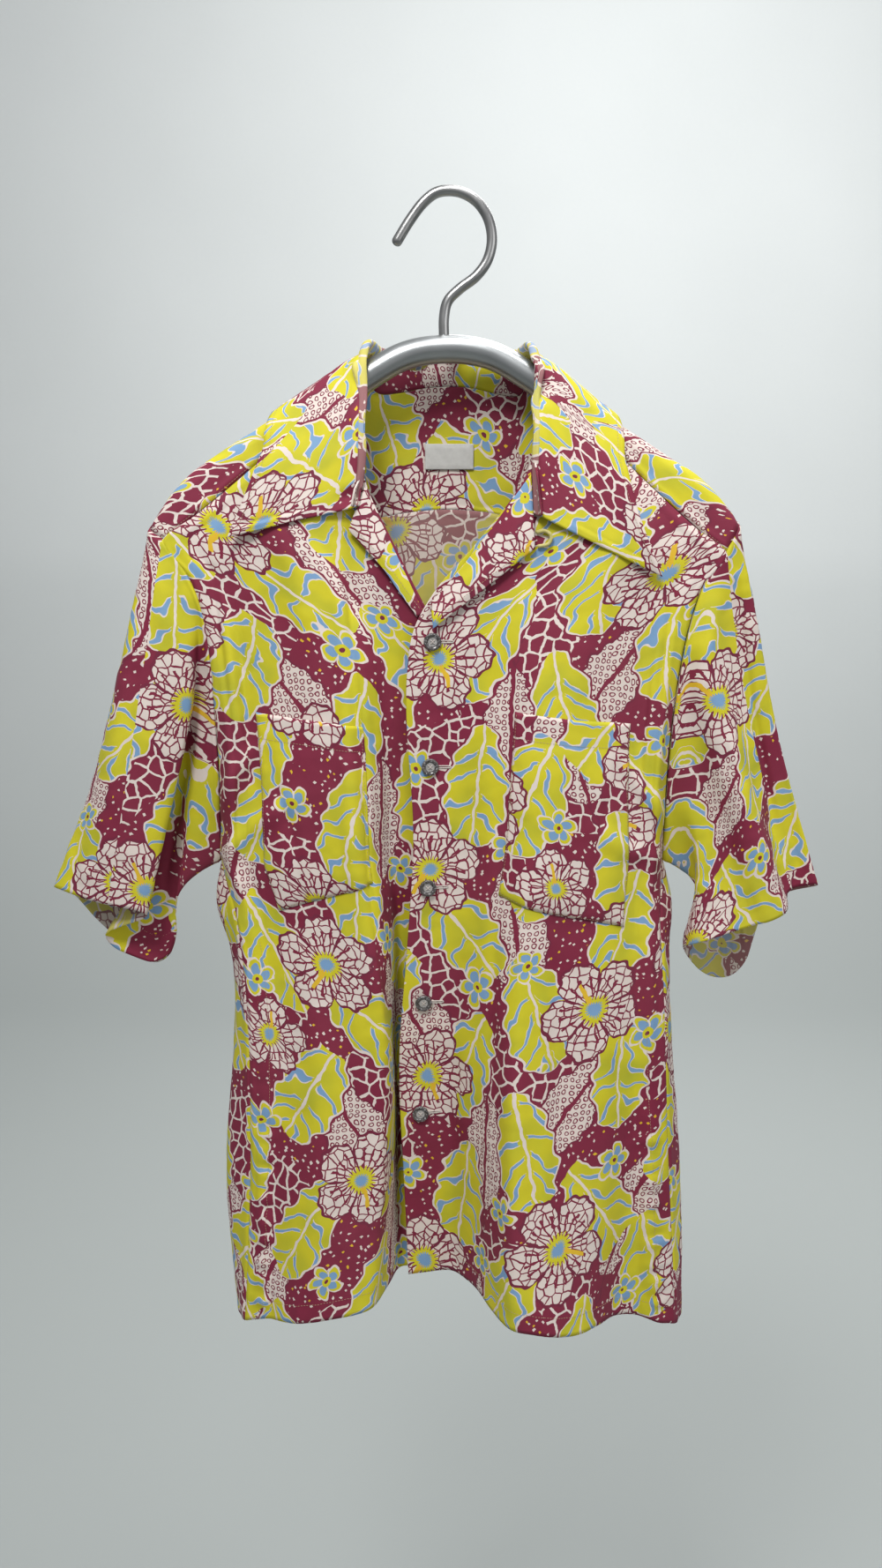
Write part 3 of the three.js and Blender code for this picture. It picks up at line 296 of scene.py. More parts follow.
# Edges by height: z, x, y.
ARMHOLES = {
    "right": {
        "sign": -1,
        "front": [
            (-266, -229, -38), (-280, -217, -40), (-303, -206, -41), (-338, -197, -41),
            (-390, -193, -39), (-450, -191.5, -33), (ARMPIT_Z, -194, -18),
        ],
        "back": [(-314, -214, 4), (-355, -205, 8), (-420, -199, 7), (-480, -196, -3), (ARMPIT_Z, -194, -18)],
    },
    "left": {
        "sign": 1,
        "front": [
            (-276, 223, -38), (-292, 211, -40), (-312, 201, -41), (-345, 193, -40),
            (-400, 186, -36), (-460, 183, -30), (ARMPIT_Z, 183, -18),
        ],
        "back": [(-318, 213, 4), (-360, 203, 8), (-420, 193, 7), (-480, 186, -3), (ARMPIT_Z, 183, -18)],
    },
}
FOLD_HEIGHTS = [-200, -300, -400, -560, -740, HEM_Z]
# Each fold line: its share of the way from the side to the front edge, and its depth, by height.
FRONTS = {
    "right": {
        "side": [
            (ARMPIT_Z, -194, -18), (-560, -181, -38), (-620, -173, -48),
            (-740, -171, -54), (-850, -176, -60), (HEM_Z, -180, -64),
        ],
        "inner": [
            (-138, -72, -17), (-175, -71, -33), (-221, -66, -39), (-269, -44, -42), (-329, -14, -44),
            (-352, -2, -43), (-560, -2, -41), (-740, -6, -37), (HEM_Z, -4, -38),
        ],
        "folds": [
            ([0.08, 0.08, 0.08, 0.07, 0.07, 0.07], [-36, -42, -47, -47, -58, -68]),
            ([0.13, 0.13, 0.13, 0.13, 0.14, 0.14], [-36, -40, -40, -44, -60, -72]),
            ([0.18, 0.18, 0.18, 0.22, 0.24, 0.25], [-36, -41, -43, -50, -68, -86]),
            ([0.4, 0.4, 0.4, 0.45, 0.47, 0.45], [-37, -45, -54, -62, -78, -94]),
            ([0.62, 0.62, 0.62, 0.68, 0.72, 0.66], [-38, -50, -59, -68, -73, -88]),
            ([0.71, 0.71, 0.72, 0.765, 0.78, 0.78], [-39, -44, -43, -32, -14, -34]),
            ([0.86, 0.86, 0.86, 0.87, 0.89, 0.9], [-40, -43, -42, -38, -33, -37]),
        ],
    },
    "left": {
        "side": [
            (ARMPIT_Z, 183, -18), (-560, 180, -38), (-620, 184, -48),
            (-740, 191, -52), (-850, 199, -56), (HEM_Z, 203, -58),
        ],
        "inner": [
            (-140, 72, -17), (-175, 71, -33), (-215, 62, -41), (-285, 9, -48),
            (-319, -20, -49), (-352, -31, -50), (-517, -29, -50), (-594, -34, -49),
            (-706, -42, -46), (-828, -38, -45), (HEM_Z, -35, -47),
        ],
        "folds": [
            ([0.06, 0.06, 0.06, 0.06, 0.08, 0.08], [-36, -42, -48, -50, -60, -64]),
            ([0.11, 0.11, 0.11, 0.11, 0.13, 0.15], [-36, -41, -43, -50, -59, -62]),
            ([0.17, 0.17, 0.17, 0.16, 0.18, 0.23], [-36, -42, -46, -54, -64, -70]),
            ([0.37, 0.37, 0.37, 0.38, 0.41, 0.42], [-38, -48, -58, -68, -88, -116]),
            ([0.495, 0.495, 0.495, 0.55, 0.586, 0.635], [-39, -50, -62, -76, -98, -120]),
            ([0.6, 0.6, 0.6, 0.66, 0.7, 0.74], [-40, -49, -57, -62, -68, -74]),
            ([0.79, 0.79, 0.79, 0.81, 0.828, 0.84], [-41, -48, -50, -48, -44, -46]),
            ([0.93, 0.93, 0.93, 0.93, 0.93, 0.935], [-41, -48, -50, -49, -45, -46]),
        ],
    },
}
COLUMNS_PER_GAP = 2
ROWS_TO_CORNER = 7
ROWS_TO_ARMPIT = 8
SIDE_HEIGHTS = np.linspace(ARMPIT_Z, HEM_Z, 12)
SHELL = 0.8                   # thickness of the shown cloth


def through(knots, values, at):
    """A smooth curve through table values, with slopes from the neighbours."""
    knots, values = list(map(float, knots)), list(map(float, values))
    sign = math.copysign(1, knots[-1] - knots[0])
    if (at - knots[0]) * sign <= 0:
        return values[0]
    if (at - knots[-1]) * sign >= 0:
        return values[-1]
    i = 0
    while (at - knots[i + 1]) * sign > 0:
        i += 1
    secants = [(values[k + 1] - values[k]) / (knots[k + 1] - knots[k]) for k in range(len(knots) - 1)]
    slopes = [secants[0], *((a + b) / 2 for a, b in zip(secants, secants[1:])), secants[-1]]
    span = knots[i + 1] - knots[i]
    t = (at - knots[i]) / span
    bend = t * (1 - t) * span * ((1 - t) * slopes[i] - t * slopes[i + 1])
    return mix(values[i], values[i + 1], t * t * (3 - 2 * t)) + bend


def edge_at(edge, z):
    heights, xs, ys = zip(*edge)
    return np.array([through(heights, xs, z), through(heights, ys, z), z])


def shoulder_at(x, key):
    value = through(SHOULDER_LINE["x"], SHOULDER_LINE[key], abs(x))
    return value - lean(x) if key == "z" else value


def drooped(places):
    places = np.array(places, float)
    x, z = places[..., 0], places[..., 2]
    places[..., 2] -= HEM_DROOP * (np.abs(x) / DROOP_REACH) ** 1.5 * ease((-300 - z) / (-300 - HEM_Z))
    return places


def front_row(side, z, count):
    front, armhole = FRONTS[side], ARMHOLES[side]
    corner, neck = armhole["front"][0], front["inner"][0]
    if z > corner[0]:
        share = (z - corner[0]) / (neck[0] - corner[0])
        x = mix(corner[1], neck[1] + 4 * armhole["sign"], share**0.92)
        outer = np.array([x, shoulder_at(x, "y") - 15, z])
    else:
        outer = edge_at(armhole["front"] if z > ARMPIT_Z else front["side"], z)
    inner = edge_at(front["inner"], z)
    sag = ease((corner[0] + 90 - z) / 90) if z > corner[0] else 1
    places = [outer]
    for shares, depths in front["folds"]:
        across = through(FOLD_HEIGHTS, shares, z)
        depth = mix(mix(outer[1], inner[1], across), through(FOLD_HEIGHTS, depths, z), sag)
        places.append([mix(outer[0], inner[0], across), depth, z])
    return spline([*places, inner], count)


def front_grid(side):
    corner, top = ARMHOLES[side]["front"][0][0], FRONTS[side]["inner"][0][0]
    heights = [
        *np.linspace(top, corner, ROWS_TO_CORNER + 1),
        *np.linspace(corner, ARMPIT_Z, ROWS_TO_ARMPIT + 1)[1:],
        *SIDE_HEIGHTS[1:],
    ]
    return np.array([drooped(front_row(side, z, COLUMNS_PER_GAP)) for z in heights])


def refined(grid, rows, columns, loop=False):
    """The same sheet with `rows` by `columns` places for each one, on smooth curves."""
    for axis, count in ((0, rows), (1, columns)):
        work = np.moveaxis(grid, axis, 0)
        wrap = loop and axis == 1
        if wrap:
            work = np.concatenate([work[-2:], work, work[:3]])
        steps = np.linalg.norm(np.diff(work, axis=0), axis=2).mean(axis=1) + 1e-6
        secants = np.diff(work, axis=0) / steps[:, None, None]
        before, after = steps[:-1, None, None], steps[1:, None, None]
        inner = (after * secants[:-1] + before * secants[1:]) / (before + after)
        slopes = np.concatenate([secants[:1], inner, secants[-1:]])
        first, last = (2, len(work) - 3) if wrap else (0, len(work) - 1)
        parts = []
        for k in range(first, last):
            for t in np.arange(count) / count:
                bend = t * (1 - t) * steps[k] * ((1 - t) * slopes[k] - t * slopes[k + 1])
                parts.append(mix(work[k], work[k + 1], t * t * (3 - 2 * t)) + bend)
        if not wrap:
            parts.append(work[-1])
        grid = np.moveaxis(np.array(parts), 0, axis)
    return grid


def normals_of(grid, flip=1, loop=False):
    if loop:
        wide = np.concatenate([grid[:, -1:], grid, grid[:, :1]], axis=1)
        across = (wide[:, 2:] - wide[:, :-2])
    else:
        across = np.gradient(grid, axis=1)
    face = np.cross(np.gradient(grid, axis=0), across)
    return flip * face / np.maximum(np.linalg.norm(face, axis=2), 1e-9)[..., None]


def cloth_lengths(grid, loop=False, upright=False):
    """Distances over the cloth, across from the first column and down from the first row.

    Where it is `upright`, sideways steps don't count in the distances down.
    """
    closed = np.concatenate([grid, grid[:, :1]], axis=1) if loop else grid
    across = np.linalg.norm(np.diff(closed, axis=1), axis=2)
    down = np.linalg.norm(np.diff(closed[..., 1:] if upright else closed, axis=0), axis=2)
    start = np.zeros_like(closed[..., 0])
    u, v = start.copy(), start.copy()
    u[:, 1:] = np.cumsum(across, axis=1)
    v[1:] = np.cumsum(down, axis=0)
    return u, v


def cloth_shell(name, grid, normals, uv, materials, thick=SHELL, out=0.0, loop=False):
    """A closed thin shell: the right side on the grid, the wrong side a thickness in."""
    rows, cols = grid.shape[:2]
    places = np.concatenate([(grid + normals * depth).reshape(-1, 3) for depth in (out, out - thick)])
    i, j = np.meshgrid(np.arange(rows - 1), np.arange(cols if loop else cols - 1), indexing="ij")
    i, j = i.ravel(), j.ravel()
    right = (j + 1) % cols

    def cell(side, row, column):
        return side * rows * cols + row * cols + column

    outer = np.stack([cell(0, i, j), cell(0, i + 1, j), cell(0, i + 1, right), cell(0, i, right)], axis=1)
    inner = np.stack([cell(1, i, j), cell(1, i, right), cell(1, i + 1, right), cell(1, i + 1, j)], axis=1)
    u, v = uv
    corners = [(i, j), (i + 1, j), (i + 1, j + 1), (i, j + 1)]
    outer_uv = np.stack([np.stack([u[a, b], v[a, b]], axis=1) for a, b in corners], axis=1)
    inner_uv = outer_uv[:, [0, 3, 2, 1]]
    faces, face_uvs = [outer, inner], [outer_uv, inner_uv]

    def rim(a, b, flip):
        """A strip that closes the shell between two runs of places of its edge."""
        (ai, aj), (bi, bj) = a, b
        strip = np.stack([cell(0, ai, aj), cell(0, bi, bj), cell(1, bi, bj), cell(1, ai, aj)], axis=1)
        near = np.stack([u[ai, aj], v[ai, aj]], axis=1)
        far = np.stack([u[bi, bj], v[bi, bj]], axis=1)
        strip_uv = np.stack([near, far, far, near], axis=1)
        faces.append(strip[:, ::-1] if flip else strip)
        face_uvs.append(strip_uv[:, ::-1] if flip else strip_uv)

    columns = np.arange(cols if loop else cols - 1)
    first, last = np.zeros_like(columns), np.full_like(columns, rows - 1)
    rim((first, columns), (first, (columns + 1) % cols), False)
    rim((last, columns), (last, (columns + 1) % cols), True)
    if not loop:
        levels = np.arange(rows - 1)
        left, end = np.zeros_like(levels), np.full_like(levels, cols - 1)
        rim((levels, left), (levels + 1, left), True)
        rim((levels, end), (levels + 1, end), False)
    faces, face_uvs = np.concatenate(faces), np.concatenate(face_uvs)
    which = np.zeros(len(faces), int)
    which[len(outer):len(outer) + len(inner)] = 1
    winding = np.cross(places[faces[0][1]] - places[faces[0][0]], places[faces[0][3]] - places[faces[0][0]])
    if winding.dot(normals[0, 0]) < 0:
        faces, face_uvs = faces[:, ::-1], face_uvs[:, ::-1]
    piece = new_piece(name, places, faces.tolist(), materials, which.tolist(), face_uvs.reshape(-1, 2) * MM)
    return piece


def gentle_noise(s, wavelength, seed):
    """A smooth uneven wave between about -1 and 1 along a length in millimetres."""
    turns = 2 * np.pi * np.asarray(s, float) / wavelength
    return (
        0.5 * np.sin(turns + 1.7 * seed)
        + 0.3 * np.sin(1.618 * turns + 2.9 * seed)
        + 0.3 * np.sin(0.55 * turns + 4.3 * seed)
    )


def seam_groove(away):
    """The dip where two pieces are sewn together, with a slight roll beside it."""
    return 0.5 * np.exp(-(((away - 4) / 2.2) ** 2)) - 0.9 * np.exp(-((away / 1.6) ** 2))


def crease(x, z, line, width, depth):
    """A soft ridge (or a trough, where depth is below 0) along a line of (x, z) places."""
    best = np.full(np.shape(x), 1e9)
    share = np.zeros(np.shape(x))
    line = np.asarray(line, float)
    lengths = np.linalg.norm(np.diff(line, axis=0), axis=1)
    gone = np.concatenate([[0], np.cumsum(lengths)])
    for k, (a, b) in enumerate(zip(line, line[1:])):
        dx, dz = b - a
        t = np.clip(((x - a[0]) * dx + (z - a[1]) * dz) / (dx * dx + dz * dz), 0, 1)
        away = np.hypot(x - a[0] - t * dx, z - a[1] - t * dz)
        nearer = away < best
        best = np.where(nearer, away, best)
        share = np.where(nearer, (gone[k] + t * lengths[k]) / gone[-1], share)
    return depth * np.exp(-((best / width) ** 2)) * np.sin(np.pi * np.clip(share * 0.9 + 0.05, 0, 1)) ** 0.7


# Soft folds laid on the panels: places (x, z), width and height of each.
FRONT_CREASES = {
    "right": [
        ([(-150, -215), (-120, -300), (-108, -390)], 13, 3.0),
        ([(-182, -300), (-176, -400), (-166, -505)], 7, 4.0),
        ([(-196, -500), (-176, -455), (-150, -425)], 7, 3.2),
        ([(-190, -530), (-160, -500), (-120, -470)], 8, 3.4),
        ([(-190, -520), (-176, -585), (-168, -680)], 7, 3.0),
        ([(-152, -560), (-150, -680), (-152, -800)], 10, 2.6),
        ([(-118, -600), (-108, -700), (-112, -830), (-118, -920)], 12, 3.2),
        ([(-70, -420), (-66, -520), (-60, -600)], 9, -2.4),
        ([(-84, -640), (-82, -760), (-76, -900)], 10, -3.0),
        ([(-30, -380), (-34, -470), (-40, -560)], 7, 2.2),
        ([(-60, -260), (-64, -330), (-58, -400)], 11, 2.4),
        ([(-80, -270), (-77, -340), (-72, -430), (-64, -540), (-50, -640), (-40, -740)], 3.6, -4.2),
        ([(-88, -275), (-86, -340), (-82, -430), (-76, -540), (-62, -640)], 6, 2.8),
        ([(-190, -290), (-180, -380), (-172, -470), (-176, -540)], 3.6, -4.4),
        ([(-150, -430), (-128, -500), (-120, -560)], 5, -1.8),
        ([(-165, -760), (-160, -850), (-162, -930)], 7, 2.8),
    ],
    "left": [
        ([(150, -225), (118, -310), (106, -390)], 13, 2.6),
        ([(172, -320), (168, -420), (160, -520)], 7, 4.0),
        ([(186, -500), (160, -470), (136, -440)], 7, 3.0),
        ([(184, -530), (150, -520), (118, -500)], 8, 3.2),
        ([(182, -540), (170, -620), (168, -720)], 8, 2.8),
        ([(120, -600), (130, -720), (136, -860)], 12, 3.2),
        ([(86, -580), (92, -700), (104, -850), (108, -930)], 11, -3.2),
        ([(30, -400), (34, -520), (30, -640)], 10, 2.6),
        ([(6, -620), (0, -740), (8, -900)], 11, -2.6),
        ([(48, -640), (56, -780), (52, -920)], 11, 3.4),
        ([(176, -740), (172, -840), (178, -930)], 8, 2.8),
        ([(60, -300), (58, -350), (66, -400)], 10, 2.0),
        ([(182, -300), (172, -380), (166, -470), (170, -560)], 3.6, -4.4),
        ([(40, -560), (36, -660), (42, -780)], 5, -2.2),
        ([(140, -440), (124, -500), (120, -560)], 5, -1.8),
        ([(14, -345), (2, -380), (-8, -420)], 5, 1.6),
    ],
}


def front_relief(side, x, z, from_inner, from_outer):
    """How far the front's cloth stands off its plain form: folds, drag lines and puckers."""
    relief = sum(crease(x, z, *row) for row in FRONT_CREASES[side])
    seed = 1 if side == "right" else 2
    relief = relief + 0.8 * gentle_noise(x + 0.35 * z, 47, seed) * gentle_noise(z - 0.6 * x, 83, seed + 3)
    relief = relief + 0.45 * gentle_noise(x - 0.8 * z, 29, seed + 5) * gentle_noise(z + 0.5 * x, 37, seed + 7)
    vent = ease((-730 - z) / 60) * np.exp(-(((from_outer - 18) / 9) ** 2))
    relief = relief + 1.5 * vent * gentle_noise(z, 19, seed + 9)
    seam = ease((ARMPIT_Z - z + 20) / 40) * np.exp(-from_outer / 9)
    relief = relief + 0.9 * seam * gentle_noise(z, 17, seed + 11)
    placket = np.exp(-(((from_inner - 14) / 18) ** 2)) * ease((-300 - z) / 60)
    relief = relief + 0.8 * placket * gentle_noise(z, 71, seed + 13)
    hem = np.exp(-(((z + HEM_DROOP * (np.abs(x) / DROOP_REACH) ** 1.5 - HEM_Z - 14) / 9) ** 2))
    return relief + 0.9 * hem * gentle_noise(x, 16, seed + 15)


right_front = front_grid("right")
left_front = front_grid("left")[:, ::-1]


def front_surface(side, grid, rows, columns):
    """The front's fine sheet with its folds, the directions out of it and its cloth lengths."""
    fine = refined(grid, rows, columns)
    outward = normals_of(fine)
    u, v = cloth_lengths(fine)
    from_inner, from_outer = (u[:, -1:] - u, u) if side == "right" else (u, u[:, -1:] - u)
    relief = front_relief(side, fine[..., 0], fine[..., 2], from_inner, from_outer)
    edge = np.minimum(from_inner, from_outer)
    calm = ease(edge / 14) * ease(v / 14)
    held = ease(edge / 5) * ease(v / 5)
    seam = np.minimum(from_outer, v)
    fine = fine + outward * (relief * (0.35 + 0.65 * calm) * held + seam_groove(seam))[..., None]
    return fine, normals_of(fine), (from_inner, cloth_lengths(fine, upright=True)[1])


# The print: a repeat of leaves and flowers on a flecked crimson ground, drawn in the cloth's own
# lengths. Each spot is x, y, turn and size, in metres and radians, on a repeat of this size.
REPEAT = (0.3, 0.36)
CRIMSON = (0.21, 0.01, 0.042, 1)
DARK_CRIMSON = (0.17, 0.01, 0.04, 1)
CHARTREUSE = (0.64, 0.57, 0.012, 1)
OLIVE = (0.43, 0.44, 0.02, 1)
BLUE = (0.19, 0.345, 0.56, 1)
CREAM = (0.76, 0.66, 0.6, 1)
GOLD = (0.75, 0.47, 0.02, 1)
LONG_LEAVES = [
    (0.04, 0.03, 1.3, 0.054), (0.19, 0.03, 2.0, 0.052), (0.115, 0.09, 0.9, 0.058), (0.265, 0.09, 1.75, 0.052),
    (0.03, 0.15, 2.1, 0.054), (0.18, 0.15, 1.2, 0.056), (0.1, 0.21, 1.7, 0.052), (0.255, 0.21, 0.8, 0.056),
    (0.035, 0.275, 1.1, 0.056), (0.19, 0.27, 2.2, 0.054), (0.12, 0.33, 1.45, 0.052), (0.27, 0.33, 1.9, 0.054),
]
DOTTED_LEAVES = [
    (0.15, 0.1, 1.9, 0.056), (0.005, 0.205, 1.3, 0.054), (0.225, 0.3, 1.0, 0.054), (0.08, 0.355, 2.2, 0.052),
    (0.295, 0.04, 1.6, 0.05),
]
HIBISCUS = [
    (0.075, 0.115, 0.3, 0.045), (0.225, 0.16, 2.2, 0.041), (0.085, 0.275, 4.1, 0.043),
    (0.235, 0.345, 1.2, 0.041), (0.16, 0.225, 5.0, 0.032),
]
SMALL_FLOWERS = [
    (0.125, 0.05, 0.2, 0.016), (0.16, 0.175, 1.1, 0.015), (0.275, 0.26, 2.0, 0.017),
    (0.02, 0.235, 0.7, 0.014), (0.14, 0.3, 2.9, 0.016), (0.215, 0.075, 1.9, 0.015),
    (0.02, 0.085, 0.4, 0.015), (0.29, 0.14, 1.4, 0.014),
]


def nearest_spot(shader, place, spots):
    """Place within the nearest motif of a repeat, in that motif's size, and how far out it is."""
    best = reach = None
    for x, y, turn, size in spots:
        here = shader.node("ShaderNodeVectorMath", {"operation": "SUBTRACT"}, {0: place, 1: (x, y, 0)})
        half = (REPEAT[0] / 2, REPEAT[1] / 2, 1)
        here = shader.node(
            "ShaderNodeVectorMath", {"operation": "WRAP"}, {0: here, 1: half, 2: tuple(-h for h in half)}
        )
        turned = {"Vector": here, "Angle": -turn}
        here = shader.node("ShaderNodeVectorRotate", {"rotation_type": "Z_AXIS"}, turned)
        here = shader.node("ShaderNodeVectorMath", {"operation": "SCALE"}, {0: here, "Scale": 1 / size})
        away = shader.node("ShaderNodeVectorMath", {"operation": "LENGTH"}, {0: here}, "Value")
        if best is None:
            best, reach = here, away
        else:
            nearer = away < reach
            best = shader.node("ShaderNodeMix", {"data_type": "VECTOR"}, {0: nearer, 4: best, 5: here}, 1)
            reach = away.math("MINIMUM", reach)
    split = shader.node("ShaderNodeSeparateXYZ", {}, {0: best})
    return split, Value(shader, split.socket.node.outputs[1]), reach


def printed_cotton(name, fade):
    """Plain-woven cotton with the print; `fade` is how far the cloth's own tone covers it."""
    shader = Shader(name, Sheen_Weight=0.03, Sheen_Roughness=0.4, Specular_IOR_Level=0.3)
    cloth = shader.node("ShaderNodeUVMap", {"uv_map": "cloth"})
    wander = shader.noise(cloth, 60.0, 2.0, 1)
    wander = shader.node("ShaderNodeVectorMath", {"operation": "SUBTRACT"}, {0: wander, 1: (0.5, 0.5, 0.5)})
    wander = shader.node("ShaderNodeVectorMath", {"operation": "SCALE"}, {0: wander, "Scale": 0.008})
    place = shader.node("ShaderNodeVectorMath", {"operation": "ADD"}, {0: cloth, 1: wander})
    flow = shader.noise(place, 34.0, 1.0)
    fine = shader.noise(place, 240.0, 2.0)

    def cells(scale, randomness, feature="F1", distance="EUCLIDEAN"):
        settings = {"voronoi_dimensions": "2D", "feature": feature}
        if feature == "F1":
            settings["distance"] = distance
        inputs = {"Vector": place, "Scale": scale, "Randomness": randomness}
        return shader.node("ShaderNodeTexVoronoi", settings, inputs)

    # ground: crimson with short cream and gold flecks, and patches of cream netting
    grains = cells(165.0, 1.0, distance="MANHATTAN")
    grain_colours = Value(shader, grains.socket.node.outputs["Color"])
    chance = shader.node("ShaderNodeSeparateColor", {}, {0: grain_colours})
    fleck = (grains + fine * 0.5 < 0.47) * (chance < 0.66)
    colour = shader.blend(fleck, CRIMSON, shader.blend(chance < 0.12, CREAM, GOLD))
    netting = cells(82.0, 0.9, "DISTANCE_TO_EDGE")
    patches = shader.noise(cloth, 11.0, 0.0)
    net = shader.blend(netting + fine * 0.1 < 0.13, CRIMSON, CREAM)
    colour = shader.blend(patches > 0.54, colour, net)

    # pale leaves filled with small rings
    x, y, reach = nearest_spot(shader, place, DOTTED_LEAVES)
    width = (1 - x * x).math("MAXIMUM", 0.0) ** 0.62 * (0.46 + x * 0.12) + (x * 21.0).math("SINE") * 0.025
    rim = abs(y) - width
    filling = shader.blend(abs(cells(180.0, 0.25) - 0.29) < 0.085, CREAM, CRIMSON)
    filling = shader.blend(abs(y) < 0.035, filling, CRIMSON)
    colour = shader.blend(rim < 0.035, colour, DARK_CRIMSON)
    colour = shader.blend(rim < 0.0, colour, filling)

    # long chartreuse leaves with blue and cream side veins
    x, y, reach = nearest_spot(shader, place, LONG_LEAVES)
    lobes = (x * 15.0 + flow * 5.0).math("SINE") * 0.045
    width = (1 - x * x).math("MAXIMUM", 0.0) ** 0.55 * (0.5 + x * 0.1) + lobes
    rim = abs(y) - width
    veins = (x * 17.0 - abs(y) * 15.0 + flow * 15.0).math("SINE")
    leaf = shader.blend(flow * 2.2 - 0.3, OLIVE, CHARTREUSE)
    leaf = shader.blend((veins > 0.8) * (abs(y) > 0.07), leaf, BLUE)
    leaf = shader.blend((veins > 0.7) * (veins < 0.84) * (abs(y) > 0.05), leaf, CREAM)
    leaf = shader.blend(abs(y + flow * 0.05 - 0.025) < 0.022, leaf, CREAM)
    leaf = shader.blend(rim > -0.035, leaf, CREAM)
    colour = shader.blend(rim < 0.035, colour, CRIMSON)
    colour = shader.blend(rim < 0.0, colour, leaf)

    # hibiscus: five ruffled cream petals with crimson veins, a dark throat and a golden column
    x, y, reach = nearest_spot(shader, place, HIBISCUS)
    angle = y.math("ARCTAN2", x)
    petal = abs((angle * 2.5).math("COSINE"))
    rim = reach - (0.6 + petal**0.6 * 0.4 + (angle * 23.0).math("SINE") * 0.022)
    rays = (angle * 20.0 + fine * 2.2).math("SINE")
    flower = shader.blend((rays > 0.7) * (reach < 0.7), CREAM, CRIMSON)
    flower = shader.blend(cells(125.0, 0.8, "DISTANCE_TO_EDGE") < 0.075, flower, CRIMSON)
    flower = shader.blend((petal < 0.13) * (reach > 0.2), flower, DARK_CRIMSON)
    flower = shader.blend(reach + rays * 0.05 < 0.27, flower, CHARTREUSE)
    column = (abs(y) + x * 0.02 < 0.05) * (x > 0.0) * (x < 0.62)
    flower = shader.blend(column, flower, GOLD)
    flower = shader.blend(reach + rays * 0.03 < 0.14, flower, BLUE)
    colour = shader.blend(rim < 0.06, colour, DARK_CRIMSON)
    colour = shader.blend(rim < 0.0, colour, flower)

    # small five-petalled flowers in blue and chartreuse
    x, y, reach = nearest_spot(shader, place, SMALL_FLOWERS)
    angle = y.math("ARCTAN2", x)
    petal = abs((angle * 2.5 + reach * 0.8).math("COSINE"))
    rim = reach - (0.5 + petal**0.8 * 0.5)
    flower = shader.blend(rim < -0.2, CHARTREUSE, BLUE)
    flower = shader.blend(petal < 0.25, flower, CREAM)
    flower = shader.blend(reach < 0.3, flower, CHARTREUSE)
    flower = shader.blend(reach < 0.12, flower, DARK_CRIMSON)
    colour = shader.blend(rim < 0.12, colour, CREAM)
    colour = shader.blend(rim < 0.0, colour, flower)

    # dye that took unevenly, and the thread's own pale tone where the print shows through
    wash = shader.noise(cloth, 9.0, 3.0)
    colour = shader.blend(wash * 0.04, colour, (0.7, 0.62, 0.5, 1))
    if fade:
        colour = shader.blend(fade, colour, (0.6, 0.5, 0.42, 1))
    shader.feed(shader.surface.inputs["Base Color"], colour)
    shader.feed(shader.surface.inputs["Roughness"], 0.62 + fine * 0.2)
    threads = shader.node("ShaderNodeSeparateXYZ", {}, {0: cloth})
    across = Value(shader, threads.socket.node.outputs[1])
    weave = (threads * 8500.0).math("SINE") * (across * 8500.0).math("SINE")
    rumple = shader.noise(cloth, 130.0, 3.0)
    shader.bump(rumple * 0.75 + fine * 0.2 + weave * 0.05, 0.35, 0.0006)
    return shader.material


cotton = printed_cotton("printed_cotton", 0.0)
cotton_reverse = printed_cotton("printed_cotton_reverse", 0.25)
MATERIALS = [cotton, cotton_reverse]


def wear(piece):
    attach(piece, "root")


surfaces = {}
CLOTH_OFFSETS = {"right": (60, 40), "left": (210, 120)}
for side, grid in (("right", right_front), ("left", left_front)):
    fine, outward, (u, v) = front_surface(side, grid, 10, 7)
    surfaces[side] = (fine, outward)
    du, dv = CLOTH_OFFSETS[side]
    lengths = ((-u if side == "right" else u) + du, v + dv)
    front = cloth_shell(f"front_{side}_cloth", fine, outward, lengths, MATERIALS)
    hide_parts(f"front_{side}")
    wear(front)

# ---- Back ----
# One wide panel, sewn to the yoke above and to the fronts at the sides, down to open vents.
# It hangs in two long folds with a hollow between them.
YOKE_BACK_Z = -240
YOKE_DROOP = 74
BACK_HEIGHTS = [-300, -420, -495, ARMPIT_Z, -558, -600, -790, HEM_Z]
# Each line of the back, from the right flank to the left one: x and y by height.
BACK_LINES = [
    ([-203, -187, -180, -195, -200, -188, -198, -190], [6, 11, 7, -6, -16, -18, -28, -34]),
    ([-162, -168, -176, -176, -176, -170, -170, -162], [14, 18, 20, 20, 20, 22, 26, 28]),
    ([-108, -110, -112, -112, -112, -110, -104, -100], [20, 20, 20, 20, 20, 18, 13, 12]),
    ([-58, -59, -60, -60, -60, -60, -58, -56], [24, 31, 36, 36, 36, 40, 47, 52]),
    ([0, 1, 2, 2, 2, 3, 4, 4], [30, 30, 30, 30, 30, 29, 24, 22]),
    ([58, 61, 64, 64, 64, 65, 66, 66], [24, 32, 38, 38, 38, 43, 53, 58]),
    ([108, 110, 112, 112, 112, 113, 115, 116], [20, 20, 20, 20, 20, 18, 15, 14]),
    ([162, 166, 170, 170, 170, 170, 174, 176], [14, 18, 20, 20, 20, 23, 29, 32]),
    ([202, 180, 172, 185.5, 194, 192, 209, 213], [6, 11, 6, -6, -14, -18, -25, -28]),
]
BACK_COUNT = 3
